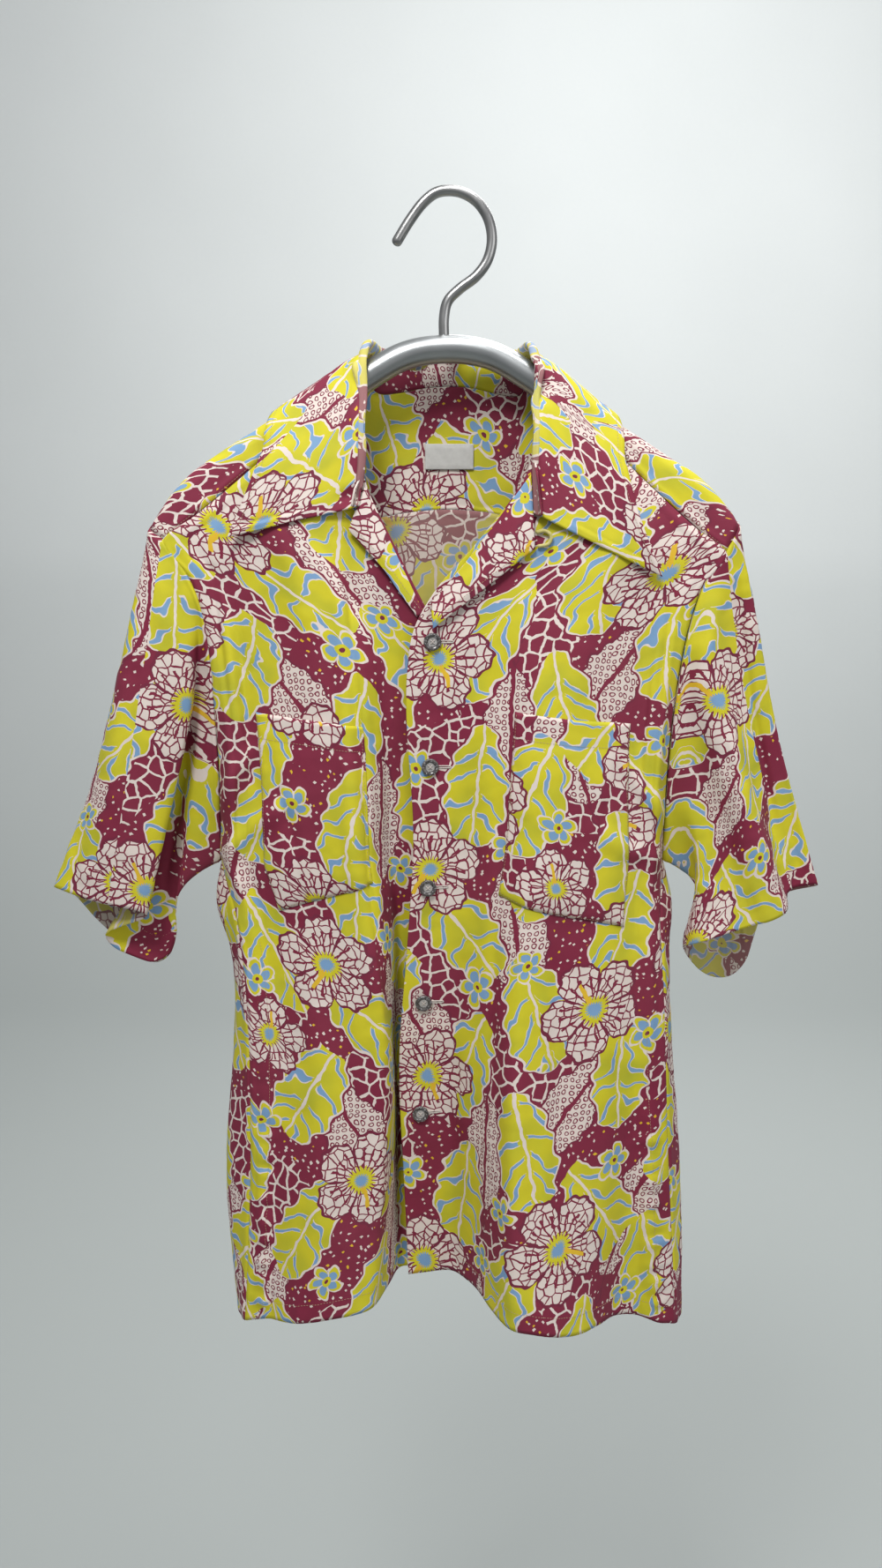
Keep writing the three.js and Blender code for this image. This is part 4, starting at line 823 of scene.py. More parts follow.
BACK_CREASES = [
    ([(-190, -480), (-150, -440), (-110, -420)], 9, -3.0),
    ([(188, -480), (150, -440), (112, -425)], 9, -3.0),
    ([(-120, -330), (-112, -480), (-118, -640)], 13, 3.0),
    ([(124, -340), (116, -500), (112, -650)], 13, 3.0),
    ([(-30, -300), (-26, -460), (-34, -620)], 11, -2.6),
    ([(28, -320), (34, -480), (30, -700)], 11, 2.4),
    ([(-84, -620), (-90, -760), (-82, -910)], 11, 3.0),
    ([(92, -600), (96, -740), (88, -900)], 11, -2.8),
    ([(-150, -640), (-156, -800), (-150, -920)], 9, -2.6),
    ([(150, -660), (146, -800), (152, -920)], 9, 2.6),
]


def yoke_back_z(x):
    return YOKE_BACK_Z - YOKE_DROOP * (np.abs(x) / 214) ** 1.8


def back_level(z):
    places = [[through(BACK_HEIGHTS, xs, z), through(BACK_HEIGHTS, ys, z), z] for xs, ys in BACK_LINES]
    edges = [ARMHOLES[side]["back"] if z > ARMPIT_Z else FRONTS[side]["side"] for side in ("right", "left")]
    ends = [edge_at(edge, z) for edge in edges]
    return spline([ends[0], *places, ends[1]], BACK_COUNT)


def back_grid():
    rows = []
    for share in np.linspace(0, 1, ROWS_TO_ARMPIT + 1)[:-1]:
        row = back_level(mix(yoke_back_z(214), ARMPIT_Z, share))
        row[:, 2] = mix(yoke_back_z(row[:, 0]), ARMPIT_Z, share)
        rows.append(row)
    rows.extend(drooped(back_level(z)) for z in SIDE_HEIGHTS)
    return np.array(rows)


back = back_grid()
fine = refined(back, 8, 4)
u, v = cloth_lengths(fine)
x, z = fine[..., 0], fine[..., 2]
relief = sum(crease(x, z, *row) for row in BACK_CREASES)
relief = relief + 0.9 * gentle_noise(x + 0.3 * z, 53, 21) * gentle_noise(z - 0.5 * x, 88, 22)
relief = relief + 0.5 * gentle_noise(x - 0.8 * z, 31, 23) * gentle_noise(z + 0.5 * x, 41, 24)
relief = relief + 0.9 * np.exp(-(((v[-1:] - v - 14) / 9) ** 2)) * gentle_noise(x, 17, 25)
relief = relief + 0.8 * np.exp(-v / 9) * gentle_noise(x, 14, 26)
outward = -normals_of(fine)
edge = np.minimum(np.minimum(u, u[:, -1:] - u), v)
fine = fine + outward * (relief * ease(edge / 6) + seam_groove(edge))[..., None]
outward = -normals_of(fine)
surfaces["back"] = (fine, outward)
middle = u - u[:, [u.shape[1] // 2]]
lengths = (middle + 130, cloth_lengths(fine, upright=True)[1] + 260)
back_cloth = cloth_shell("back_cloth", fine, outward, lengths, MATERIALS)
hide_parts("back")
wear(back_cloth)

# ---- Yoke ----
# A curved piece over both shoulders, from the fronts' top seams and the neck to a seam across
# the back. It carries the shirt's weight on the bar.
NECK_BACK = [
    (-76.5, -14.5, -132), (-75.5, -5, -127), (-72, 8, -133), (-56, 20, -148), (-30, 27, -143), (0, 29, -140),
    (30, 27, -143), (56, 20, -150), (72, 8, -133), (75.5, -5, -127), (76.5, -14.5, -132.5),
]
NECK_COLUMNS = 15
YOKE_SHARES = [0, 0.05, 0.1, 0.15, 0.2, 0.26, 0.34, 0.46, 0.62, 0.8, 1]
OVER_BAR = [(-10.2, -4.7), (0, 0), (10.2, -4.7), (15, -17)]


def yoke_column(start, end):
    x = start[0] * mix(1, SHOULDER_HALF / 229, np.clip((abs(start[0]) - NECK_HALF) / 155, 0, 1))
    y, z = shoulder_at(x, "y"), shoulder_at(x, "z")
    over = [np.array([mix(x, end[0], 0.04 * k), y + dy, z + dz]) for k, (dy, dz) in enumerate(OVER_BAR)]
    turn = [p for p in over if p[1] > start[1] + 3] if abs(start[0]) > NECK_HALF - 4 else []
    below = mix(turn[-1] if turn else start, end, 0.5) + np.array([0, 3, 0])
    return spaced([start, *turn, below, end], YOKE_SHARES)


def yoke_grid():
    neck = spline(NECK_BACK, 7)
    picked = neck[[round(k) for k in np.linspace(0, len(neck) - 1, NECK_COLUMNS)]]
    starts = [
        *right_front[ROWS_TO_CORNER::-1, 0],
        *picked,
        *left_front[:ROWS_TO_CORNER + 1, -1],
    ]
    return np.array([yoke_column(start, back[0, k]) for k, start in enumerate(starts)]).transpose(1, 0, 2)


yoke = yoke_grid()
fine = refined(yoke, 8, 6)
u, v = cloth_lengths(fine)
relief = 0.7 * gentle_noise(fine[..., 0] + 0.4 * v, 43, 31) * gentle_noise(v, 61, 32)
relief = relief + 0.6 * np.exp(-v / 8) * gentle_noise(fine[..., 0], 15, 33)
relief = relief + 0.6 * np.exp(-(v[-1:] - v) / 8) * gentle_noise(fine[..., 0], 14, 34)
outward = -normals_of(fine)
outward[:6] = outward[6]
edge = np.minimum(np.minimum(u, u[:, -1:] - u), np.minimum(v, v[-1:] - v))
neck = np.exp(-(((fine[..., 0]) / 66) ** 8)) * (v < 20)
fine = fine + outward * (relief * ease(edge / 5) + seam_groove(edge) * (1 - neck))[..., None]
surfaces["yoke"] = (fine, outward)
lengths = (u - u[:, [u.shape[1] // 2]] + 95, v + 15)
yoke_cloth = cloth_shell("yoke_cloth", fine, outward, lengths, [cotton, cotton])
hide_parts("yoke")
wear(yoke_cloth)

# ---- Sleeves ----
# Short wide tubes of the same cotton, each cut in one piece, sewn into the armhole and along the
# underarm, with a turned hem. The right one hangs in a tucked fold, the left one in a recess.
# Each line: its share of the armhole, its end at the hem, its bow and how it leaves the seam.
SLEEVE_ROWS = {
    "right": [
        (0.0, (-286, -46, -567), (2, -6, 0), (0, 0, 0)),
        (0.035, (-243, -50, -568), (8, -8, 0), (0, 0, 0)),
        (0.11, (-292, -30, -596), (14, 20, 0), (0, 0, 0)),
        (0.27, (-262, -18, -626), (2, 14, 0), (-3, 0, 0)),
        (0.463, (-243, -6, -621), (-2, 0, 0), (-7, 0, 0)),
        (0.6, (-266, 12, -637), (-2, 4, 0), (-9, 1, 0)),
        (0.76, (-309, 16, -604), (0, 6, 0), (-5, 2, 0)),
        (0.9, (-333, 0, -567), (4, 4, 0), (0, 0, 0)),
        (0.955, (-336, -22, -559), (5, 0, 0), (0, 0, 0)),
    ],
    "left": [
        (0.0, (294, -24, -560), (-8, 4, 0), (0, 0, 0)),
        (0.04, (286, -48, -569), (-10, -6, 0), (0, 0, 0)),
        (0.2, (246, -52, -586), (-2, 4, 0), (2, 0, 0)),
        (0.36, (208, -47, -601), (2, 4, 0), (5, -1, 0)),
        (0.463, (204, -20, -613), (4, 2, 0), (8, 0, 0)),
        (0.6, (232, 6, -647), (2, 6, 0), (11, 1, 0)),
        (0.76, (264, 9, -640), (0, 6, 0), (8, 2, 0)),
        (0.9, (290, 4, -574), (0, 4, 0), (0, 0, 0)),
        (0.955, (318, -20, -557), (-4, 0, 0), (0, 0, 0)),
    ],
}
SLEEVE_STEPS = 11
SLEEVE_LEAVE = 2.8
SLEEVE_CREASES = {
    "right": [
        ([(-250, -300), (-268, -400), (-290, -540)], 9, 2.6),
        ([(-228, -330), (-240, -430), (-262, -560)], 8, -2.8),
        ([(-236, -290), (-222, -350), (-214, -420)], 7, 2.4),
        ([(-286, -380), (-306, -470), (-322, -555)], 8, -2.2),
        ([(-222, -300), (-218, -380), (-226, -460), (-246, -560)], 3.6, -3.6),
    ],
    "left": [
        ([(236, -300), (252, -400), (272, -540)], 9, 2.6),
        ([(214, -330), (226, -430), (240, -560)], 8, -2.6),
        ([(222, -300), (206, -360), (200, -440)], 7, 2.2),
        ([(262, -360), (284, -460), (302, -550)], 8, -2.2),
        ([(232, -300), (250, -390), (272, -480), (286, -560)], 3.6, -3.8),
    ],
}


def armhole_edge(front, front_column, back_column, yoke_end):
    down = front[ROWS_TO_CORNER:ROWS_TO_CORNER + ROWS_TO_ARMPIT + 1, front_column]
    up = back[ROWS_TO_ARMPIT - 1::-1, back_column]
    over = yoke[-2:0:-1, yoke_end]
    return np.concatenate([down, up, over])


def sleeve_grid(edge, rows):
    lengths = np.linalg.norm(np.roll(edge, -1, axis=0) - edge, axis=1)
    shares = np.concatenate([[0], np.cumsum(lengths)[:-1]]) / lengths.sum()
    wrapped = [(rows[-1][0] - 1, *rows[-1][1:]), *rows, (1, *rows[0][1:]), (1 + rows[1][0], *rows[1][1:])]
    at = [row[0] for row in wrapped]
    t = np.linspace(0, 1, SLEEVE_STEPS + 1)[:, None]
    columns = []
    for start, share in zip(edge, shares):
        end, bow, leave = (
            np.array([through(at, [row[k][axis] for row in wrapped], share) for axis in range(3)])
            for k in (1, 2, 3)
        )
        bend = bow * 4 * t * (1 - t) + leave * SLEEVE_LEAVE * 6.75 * t * (1 - t) ** 2
        columns.append(start + (end - start) * t + bend)
    return np.array(columns).transpose(1, 0, 2)


def tube_lengths(grid, outward):
    """Distances across a tube's front and on round it, and down along its own direction."""
    closed = np.concatenate([grid, grid[:, :1]], axis=1)
    axis = grid[-1].mean(axis=0) - grid[0].mean(axis=0)
    axis /= np.linalg.norm(axis)
    aside = np.array([-axis[2], 0, axis[0]])
    steps = np.diff(closed, axis=1)
    steps = np.linalg.norm(steps - (steps @ axis)[..., None] * axis, axis=2)
    round_it = np.concatenate([np.zeros((len(grid), 1)), np.cumsum(steps, axis=1)], axis=1)
    front = outward[..., 1].mean(axis=0).argmin()
    turn = np.sign(((closed[:, front + 1] - closed[:, front]) @ aside).mean())
    across = (closed[:, front] @ aside)[:, None] + turn * (round_it - round_it[:, [front]])
    return across, closed @ axis


SLEEVES = {
    "right": (armhole_edge(right_front, 0, 0, 0), 1, 41, (150, 30)),
    "left": (armhole_edge(left_front, -1, -1, -1), -1, 51, (20, 200)),
}
for side, (edge, flip, seed, (du, dv)) in SLEEVES.items():
    fine = refined(sleeve_grid(edge, SLEEVE_ROWS[side]), 9, 5, loop=True)
    outward = normals_of(fine, flip, loop=True)
    u, v = cloth_lengths(fine, loop=True)
    x, z = fine[..., 0], fine[..., 2]
    here = v[:, :-1]
    relief = sum(crease(x, z, *row) for row in SLEEVE_CREASES[side])
    relief = relief + 0.8 * gentle_noise(x + 0.5 * z, 41, seed) * gentle_noise(z - 0.6 * x, 59, seed + 1)
    relief = relief + 0.45 * gentle_noise(x - 0.9 * z, 23, seed + 2) * gentle_noise(z + 0.5 * x, 33, seed + 3)
    relief = relief + 0.8 * np.exp(-here / 8) * gentle_noise(u[:1, :-1], 13, seed + 4)
    hem_in = here[-1:] - here
    relief = relief + 0.9 * np.exp(-(((hem_in - 24) / 8) ** 2)) * gentle_noise(u[:1, :-1], 15, seed + 5)
    fine = fine + outward * (relief * ease(here / 5) + seam_groove(here))[..., None]
    outward = normals_of(fine, flip, loop=True)
    surfaces[f"sleeve_{side}"] = (fine, outward)
    lengths = tube_lengths(fine, outward)
    lengths = (lengths[0] + du, lengths[1] + dv)
    sleeve = cloth_shell(f"sleeve_{side}_cloth", fine, outward, lengths, MATERIALS, loop=True, out=0.3)
    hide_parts(f"sleeve_{side}")
    wear(sleeve)

# ---- Lapels ----
# The tops of the front edges turn over and show their facing, up to the collar's notches.
WALL = 1.2
LIFT = 0.4
LAPELS = {
    "right": (
        ([0, 0.5, 1], [-66.5, -43, -19.5], [-226, -275, -325]),
        ([0, 0.5, 1], [-79, -52, -24], [-259, -289, -327]),
    ),
    "left": (
        ([0, 0.6, 1], [65, 13, -14], [-216, -285, -316]),
        ([0, 0.5, 1], [68, 28, -13], [-274, -305, -336]),
    ),
}
LAPEL_OFFSETS = {"right": (175, 20), "left": (100, -60)}


def depth_on(grid, x, z):
    """The depth of a sheet's foremost face behind a place seen from the front."""
    a, b, c, d = grid[:-1, :-1], grid[1:, :-1], grid[1:, 1:], grid[:-1, 1:]
    found = []
    for p, q, r in ((a, b, c), (a, c, d)):
        area = (
            (q[..., 0] - p[..., 0]) * (r[..., 2] - p[..., 2])
            - (r[..., 0] - p[..., 0]) * (q[..., 2] - p[..., 2])
        )
        area = np.where(np.abs(area) < 1e-9, 1e-9, area)
        to_q = ((x - p[..., 0]) * (r[..., 2] - p[..., 2]) - (r[..., 0] - p[..., 0]) * (z - p[..., 2])) / area
        to_r = ((q[..., 0] - p[..., 0]) * (z - p[..., 2]) - (x - p[..., 0]) * (q[..., 2] - p[..., 2])) / area
        hit = (to_q >= -1e-6) & (to_r >= -1e-6) & (to_q + to_r <= 1 + 1e-6)
        depth = p[..., 1] + to_q * (q[..., 1] - p[..., 1]) + to_r * (r[..., 1] - p[..., 1])
        found.extend(depth[hit])
    return min(found)


def lapel_grid(side, front, lift, rows, columns):
    roll, edge = LAPELS[side]
    grid = []
    for share in np.linspace(0, 1, rows + 1):
        row = []
        for across in np.linspace(0, 1, columns + 1):
            x = mix(through(roll[0], roll[1], share), through(edge[0], edge[1], share), across)
            z = mix(through(roll[0], roll[2], share), through(edge[0], edge[2], share), across)
            row.append((x, depth_on(front, x, z) - lift - 1.2 * math.sin(math.pi * across), z))
        grid.append(row)
    return np.array(grid)


plain_lapels = {
    "right": lapel_grid("right", right_front, WALL + LIFT + 0.6, 8, 5),
    "left": lapel_grid("left", left_front, WALL + LIFT + 0.6, 8, 5),
}
for side, flip in (("right", -1), ("left", 1)):
    fine = refined(lapel_grid(side, surfaces[side][0], WALL + LIFT + 0.4, 16, 10), 3, 3)
    outward = normals_of(fine, flip)
    u, v = cloth_lengths(fine)
    edge = np.minimum(np.minimum(u[:, -1:] - u, v), v[-1:] - v)
    lift = 0.5 * np.exp(-(((edge - 5) / 2.5) ** 2)) * (1 + 0.5 * gentle_noise(v, 15, 61))
    lift = lift + 3.2 * ease(u / np.maximum(u[:, -1:], 1)) * ease(u / 12)
    fine = fine + outward * lift[..., None]
    outward = normals_of(fine, flip)
    surfaces[f"lapel_{side}"] = (fine, outward)
    du, dv = LAPEL_OFFSETS[side]
    lengths = (fine[..., 0] + du, -fine[..., 2] + dv)
    lapel = cloth_shell(f"lapel_{side}_cloth", fine, outward, lengths, MATERIALS, thick=1.0)
    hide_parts(f"lapel_{side}")
    wear(lapel)

# ---- Collar ----
# An open camp collar, as thick as two layers, sewn round the neck: it stands up, rolls over and
# falls on the shoulders to two long points. Its rows run from the right notch to the left one.
COLLAR_ROWS = [
    (0, (-71, -46, -241), (-175, -52, -265)),
    (0.1, (-66.5, -43, -206), (-163, -50, -237)),
    (0.21, (-65.5, -34, -165), (-149, -41, -200)),
    (0.315, (-64.5, -8, -110.5), (-137, -16, -163)),
    (0.39, (-52, 16, -113), (-106, 16, -172)),
    (0.5, (0, 28, -113), (0, 42, -181)),
    (0.61, (54, 16, -114), (106, 16, -174)),
    (0.685, (65.5, -8, -112), (133, -16, -166)),
    (0.79, (66.5, -34, -165), (141, -42, -208)),
    (0.9, (67, -44, -208), (152, -51, -252)),
    (1, (68, -48, -247), (170, -54, -296)),
]
COLLAR_STEPS = [(0, 0.28, 10), (0.28, 0.43, 12), (0.43, 0.57, 5), (0.57, 0.72, 12), (0.72, 1, 10)]
COLLAR_ROLL = 2
LEAF_CLEAR = 4.4
LEAF_LOOSE = 5
STAND_CLEAR = 2.6
SEAM_CLEAR = 1.8
FRONT_SHARE = 0.2
LAPEL_REACH = 12
PANEL_REACH = 30
SEAM = 0.3
GORGE_RIGHT = (4, 0.08, [(-77, -53, -241), (-74, -51, -226)])
GORGE_LEFT = (3, 0.12, [(70, -53, -218), (72, -55, -234), (74, -56, -248)])


def nearest_on(sheet, p):
    grid, normals = sheet[0][1:], sheet[1][1:]
    away = np.linalg.norm(grid - p, axis=2)
    i, j = np.unravel_index(away.argmin(), away.shape)
    return away[i, j], normals[i, j], (p - grid[i, j]).dot(normals[i, j])


def settle(p, panels, lapels, apart, loose):
    """Moves a place off what lies under it, and back to it where it stands too far off."""
    if panels:
        away, face, height = min((nearest_on(sheet, p) for sheet in panels), key=lambda hit: hit[0])
        if away < PANEL_REACH:
            p = p + face * (min(max(height, apart), apart + loose) - height)
    for lapel in lapels:
        away, face, height = nearest_on(lapel, p)
        aside = math.sqrt(max(0, away**2 - height**2))
        if aside < LAPEL_REACH and height < apart:
            p = p + face * (apart - height)
    return p


def collar_grid(seam, panels, lapels):
    at = [row[0] for row in COLLAR_ROWS]

    def vector(key, share):
        return np.array([through(at, [row[key][a] for row in COLLAR_ROWS], share) for a in range(3)])

    shares = [0, *(s for start, end, steps in COLLAR_STEPS for s in np.linspace(start, end, steps + 1)[1:])]
    grid = []
    for share, start in zip(shares, spaced(seam, shares)):
        fold, edge = vector(1, share), vector(2, share)
        along = vector(1, min(1, share + 0.01)) - vector(1, max(0, share - 0.01))
        fall = (edge - fold) / np.linalg.norm(edge - fold)
        face = np.cross(fall, along)
        face /= np.linalg.norm(face)
        inside = fold + fall * COLLAR_ROLL * 1.6
        outside = inside + face * 2 * COLLAR_ROLL
        middle = mix(outside, edge, 0.5) + face * 2
        start = start + (inside - start) / np.linalg.norm(inside - start) * 2 * SEAM
        row = spline([start, inside, fold + face * COLLAR_ROLL, outside, middle, edge], 2)
        on_lapel = share < GORGE_RIGHT[1] or share > 1 - GORGE_LEFT[1]
        in_front = abs(share - 0.5) > FRONT_SHARE
        settled = []
        for j, p in enumerate(row):
            if j > 5:
                p = settle(p, panels, lapels, LEAF_CLEAR, LEAF_LOOSE if j > 7 else 40)
            elif on_lapel:
                p = settle(p, [], lapels, STAND_CLEAR, 40)
            elif in_front:
                p = settle(p, panels, lapels, STAND_CLEAR if j > 0 else SEAM_CLEAR, 40)
            settled.append(p)
        grid.append(settled)
    return np.array(grid)


neck_seam = np.concatenate([
    GORGE_RIGHT[2],
    right_front[GORGE_RIGHT[0]::-1, -1],
    yoke[0, ROWS_TO_CORNER + 1:ROWS_TO_CORNER + 1 + NECK_COLUMNS],
    left_front[:GORGE_LEFT[0] + 1, 0],
    GORGE_LEFT[2],
])
panels = [
    (right_front, normals_of(right_front)),
    (left_front, normals_of(left_front)),
    (yoke, -normals_of(yoke)),
]
lapels = [
    (plain_lapels["right"], -normals_of(plain_lapels["right"])),
    (plain_lapels["left"], normals_of(plain_lapels["left"])),
]
fine = refined(collar_grid(neck_seam, panels, lapels), 6, 6)
outward = normals_of(fine)
u, v = cloth_lengths(fine)
leaf = ease((u - 42) / 14)
edge_in = np.minimum(u[:, -1:] - u, np.minimum(v, v[-1:] - v))
relief = 0.55 * np.exp(-(((edge_in - 5.5) / 2.6) ** 2)) * (1 + 0.7 * gentle_noise(v, 21, 71))
relief = relief - 0.5 * np.exp(-(((edge_in - 8.5) / 1.6) ** 2)) * (1 + 0.4 * gentle_noise(v, 13, 72))
relief = relief + 0.5 * gentle_noise(u, 37, 73) * gentle_noise(v, 53, 74)
fine = fine + outward * (relief * leaf)[..., None]
outward = normals_of(fine)
surfaces["collar"] = (fine, outward)
along = np.broadcast_to(v[:, [v.shape[1] * 3 // 4]], v.shape)
collar = cloth_shell("collar_cloth", fine, outward, (along + 70, u + 25), MATERIALS, thick=1.4)
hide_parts("collar")
wear(collar)

# ---- Pockets ----
# A square patch pocket on each front, its print matched to the panel's, with a turned top hem
# and stitching close to its edges.
POCKETS = {"right": (3, 5, (-402, -414), (-561, -541)), "left": (3, 6, (-411, -402), (-572, -552))}
POCKET_ROWS = 48
POCKET_COUNT = 22


def on_surface(surface, x, z):
    """The place on a fine sheet behind (x, z) and the direction out of the sheet there."""
    grid, outward = surface
    away = np.hypot(grid[..., 0] - x, grid[..., 2] - z) + np.where(outward[..., 1] > -0.05, 50, 0)
    near = np.argsort(away, axis=None)[:4]
    weight = 1 / (away.ravel()[near] + 0.05)
    weight /= weight.sum()
    places, faces = grid.reshape(-1, 3)[near], outward.reshape(-1, 3)[near]
    face = (faces * weight[:, None]).sum(axis=0)
    face /= np.linalg.norm(face)
    depths = places[:, 1] - (face[0] * (x - places[:, 0]) + face[2] * (z - places[:, 2])) / face[1]
    return np.array([x, (depths * weight).sum(), z]), face


def pocket_grid(side):
    first, last, top, foot = POCKETS[side]
    count = (last - first) * POCKET_COUNT
    rows = []
    for share in np.linspace(0, 1, POCKET_ROWS + 1):
        across = np.linspace(0, 1, count + 1)
        heights = mix(mix(top[0], top[1], across), mix(foot[0], foot[1], across), share)
        here = slice(first * POCKET_COUNT, last * POCKET_COUNT + 1)
        inner, outer = (front_row(side, z, POCKET_COUNT)[here] for z in heights[[0, -1]])
        places = mix(inner, outer, across[:, None])
        places[:, 2] = heights
        rows.append(drooped(places))
    return np.array(rows)


for side in ("right", "left"):
    plain = pocket_grid(side)
    flat = np.array([[on_surface(surfaces[side], p[0], p[2]) for p in row] for row in plain])
    fine, outward = flat[:, :, 0], flat[:, :, 1]
    u, v = cloth_lengths(plain)
    edge = np.minimum(np.minimum(u, u[:, -1:] - u), v[-1:] - v)
    puff = 1.5 * ease(edge / 16) * ease(v / 50) + 1.3 * ease(edge / 2.5)
    hem = 0.5 * np.exp(-(((v - 3) / 5) ** 2)) - 0.5 * np.exp(-(((v - 22) / 2.5) ** 2))
    seam = 0.5 * np.exp(-(((edge - 3) / 2) ** 2)) * gentle_noise(v + u, 12, 81)
    fine = fine + outward * (puff + hem + seam + LIFT + 0.5)[..., None]
    outward = normals_of(fine, 1 if side == "right" else -1)
    surfaces[f"pocket_{side}"] = (fine, outward)
    du, dv = CLOTH_OFFSETS[side]
    grid = surfaces[side][0]
    front_u, front_v = cloth_lengths(grid)
    away = np.hypot(grid[..., 0] - plain[0, 0, 0], grid[..., 2] - plain[0, 0, 2])
    near = np.unravel_index(away.argmin(), away.shape)
    shift = front_u[near] - front_u[near[0], -1] if side == "right" else front_u[near]
    lengths = (u + shift + du, v + front_v[near] + dv)
    pocket = cloth_shell(f"pocket_{side}_cloth", fine, outward, lengths, MATERIALS, thick=0.9)
    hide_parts(f"pocket_{side}")
    wear(pocket)

# ---- Neck label ----
# A blank woven tape, folded at its ends and stitched flat inside the yoke.
LABEL = {"from": -19.5, "to": 21.5, "top": -186, "foot": -207}
label_shader = Shader("label_tape", Sheen_Weight=0.2)
place = label_shader.node("ShaderNodeTexCoord", output=3)
ribs = label_shader.node("ShaderNodeTexWave", {"bands_direction": "Z"}, {"Vector": place, "Scale": 420.0})
mottle = label_shader.noise(place, 300.0, 3.0)
label_shader.feed(
    label_shader.surface.inputs["Base Color"],
    label_shader.blend(mottle * 0.7 + ribs * 0.3, (0.5, 0.49, 0.46, 1), (0.68, 0.67, 0.64, 1)),
)
label_shader.feed(label_shader.surface.inputs["Roughness"], 0.6 + mottle * 0.25)
label_shader.bump(ribs, 0.2, 0.0003)
grid = []
for z in np.linspace(LABEL["top"], LABEL["foot"], 25):
    row = []
    for x in np.linspace(LABEL["from"], LABEL["to"], 41):
        rim = min(x - LABEL["from"], LABEL["to"] - x, LABEL["top"] - z, z - LABEL["foot"])
        lift = 0.5 * float(ease(rim / 4)) + 0.15 * float(gentle_noise(x + z, 17, 91))
        row.append((x, depth_on(yoke, x, z) - WALL - LIFT - 0.3 - lift, z))
    grid.append(row)
grid = np.array(grid)
outward = normals_of(grid)
lengths = cloth_lengths(grid)
label = cloth_shell("label_tape", grid, outward, lengths, [label_shader.material] * 2, thick=0.5, out=0.5)
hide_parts("neck_label")
wear(label)

# ---- Collar loop ----
# A small loop of rolled cloth under the left end of the collar, for a button at the neck.
LOOP_RADIUS = 1.5
LOOP_LINE = [(70, -261, 2.2), (76, -260, 3), (81, -264, 3.4), (79, -270, 3), (71, -272, 2.2)]
loop_shader = Shader("rolled_cotton", Sheen_Weight=0.2)
place = loop_shader.node("ShaderNodeTexCoord", output=3)
twist = loop_shader.noise(place, 500.0, 3.0)
rolled = loop_shader.blend(twist, (0.4, 0.36, 0.03, 1), (0.68, 0.6, 0.3, 1))
loop_shader.feed(loop_shader.surface.inputs["Base Color"], rolled)
loop_shader.feed(loop_shader.surface.inputs["Roughness"], 0.6 + twist * 0.3)
loop_shader.bump(twist, 0.4, 0.0004)
loop_line = [(x, depth_on(left_front, x, z) - off, z) for x, z, off in LOOP_LINE]
loop = round_rod("loop_cord", loop_line, LOOP_RADIUS, 60, 16, 0.8, loop_shader.material)
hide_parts("collar_loop")
wear(loop)

# ---- Buttons ----
# Five carved shell buttons of 14.4 mm, dark brown-grey with a paler dished middle. Each is
# sewn on with crossed thread, whose four holes aren't cut.
BUTTON_RADIUS = 7.2
BUTTONS = [(-13, -347), (-15, -449), (-17, -551), (-21, -653), (-24, -755)]
BUTTON_PROFILE = [
    (0.0, 0.0), (0.8, 0.0), (0.97, 0.12), (1.0, 0.4), (0.98, 0.75), (0.9, 0.96), (0.8, 1.0), (0.7, 0.9),
    (0.62, 0.66), (0.5, 0.6), (0.25, 0.56), (0.0, 0.55),
]
shell_shader = Shader("carved_shell", Coat_Roughness=0.12, IOR=1.55)
place = shell_shader.node("ShaderNodeTexCoord", output=3)
pearl = shell_shader.noise(place, 260.0, 4.0)
glint = shell_shader.noise(place, 700.0, 2.0)
shade = shell_shader.blend(pearl * 1.8 - 0.4, (0.02, 0.018, 0.018, 1), (0.13, 0.115, 0.11, 1))
shade = shell_shader.blend(glint > 0.62, shade, (0.34, 0.33, 0.34, 1))
shell_shader.feed(shell_shader.surface.inputs["Base Color"], shade)
shell_shader.feed(shell_shader.surface.inputs["Roughness"], 0.18 + pearl * 0.22)
shell_shader.feed(shell_shader.surface.inputs["Coat Weight"], pearl * 0.6)
shell_shader.bump(pearl, 0.25, 0.0003)
pale_shader = Shader("pale_shell_middle", IOR=1.55)
place = pale_shader.node("ShaderNodeTexCoord", output=3)
pearl = pale_shader.noise(place, 420.0, 3.0)
dish = pale_shader.blend(pearl, (0.2, 0.19, 0.18, 1), (0.6, 0.58, 0.55, 1))
pale_shader.feed(pale_shader.surface.inputs["Base Color"], dish)
pale_shader.feed(pale_shader.surface.inputs["Roughness"], 0.2 + pearl * 0.2)
thread_shader = Shader("pale_thread", Sheen_Weight=0.2)
place = thread_shader.node("ShaderNodeTexCoord", output=3)
strand = thread_shader.noise(place, 1500.0, 2.0)
spun = thread_shader.blend(strand, (0.42, 0.36, 0.33, 1), (0.66, 0.6, 0.55, 1))
thread_shader.feed(thread_shader.surface.inputs["Base Color"], spun)
thread_shader.feed(thread_shader.surface.inputs["Roughness"], 0.5 + strand * 0.3)
BUTTON_SIDES = 40
HOLE_AT = 1.5
BUTTON_THICK = 2.6
THREAD_RADIUS = 0.42


def upright(face):
    """Two directions along a face: across to the wearer's left, and up."""
    across = np.cross([0.0, 0.0, 1.0], face)
    across /= np.linalg.norm(across)
    if across[0] < 0:
        across = -across
    up = np.cross(face, across)
    return across, up * math.copysign(1, up[2])


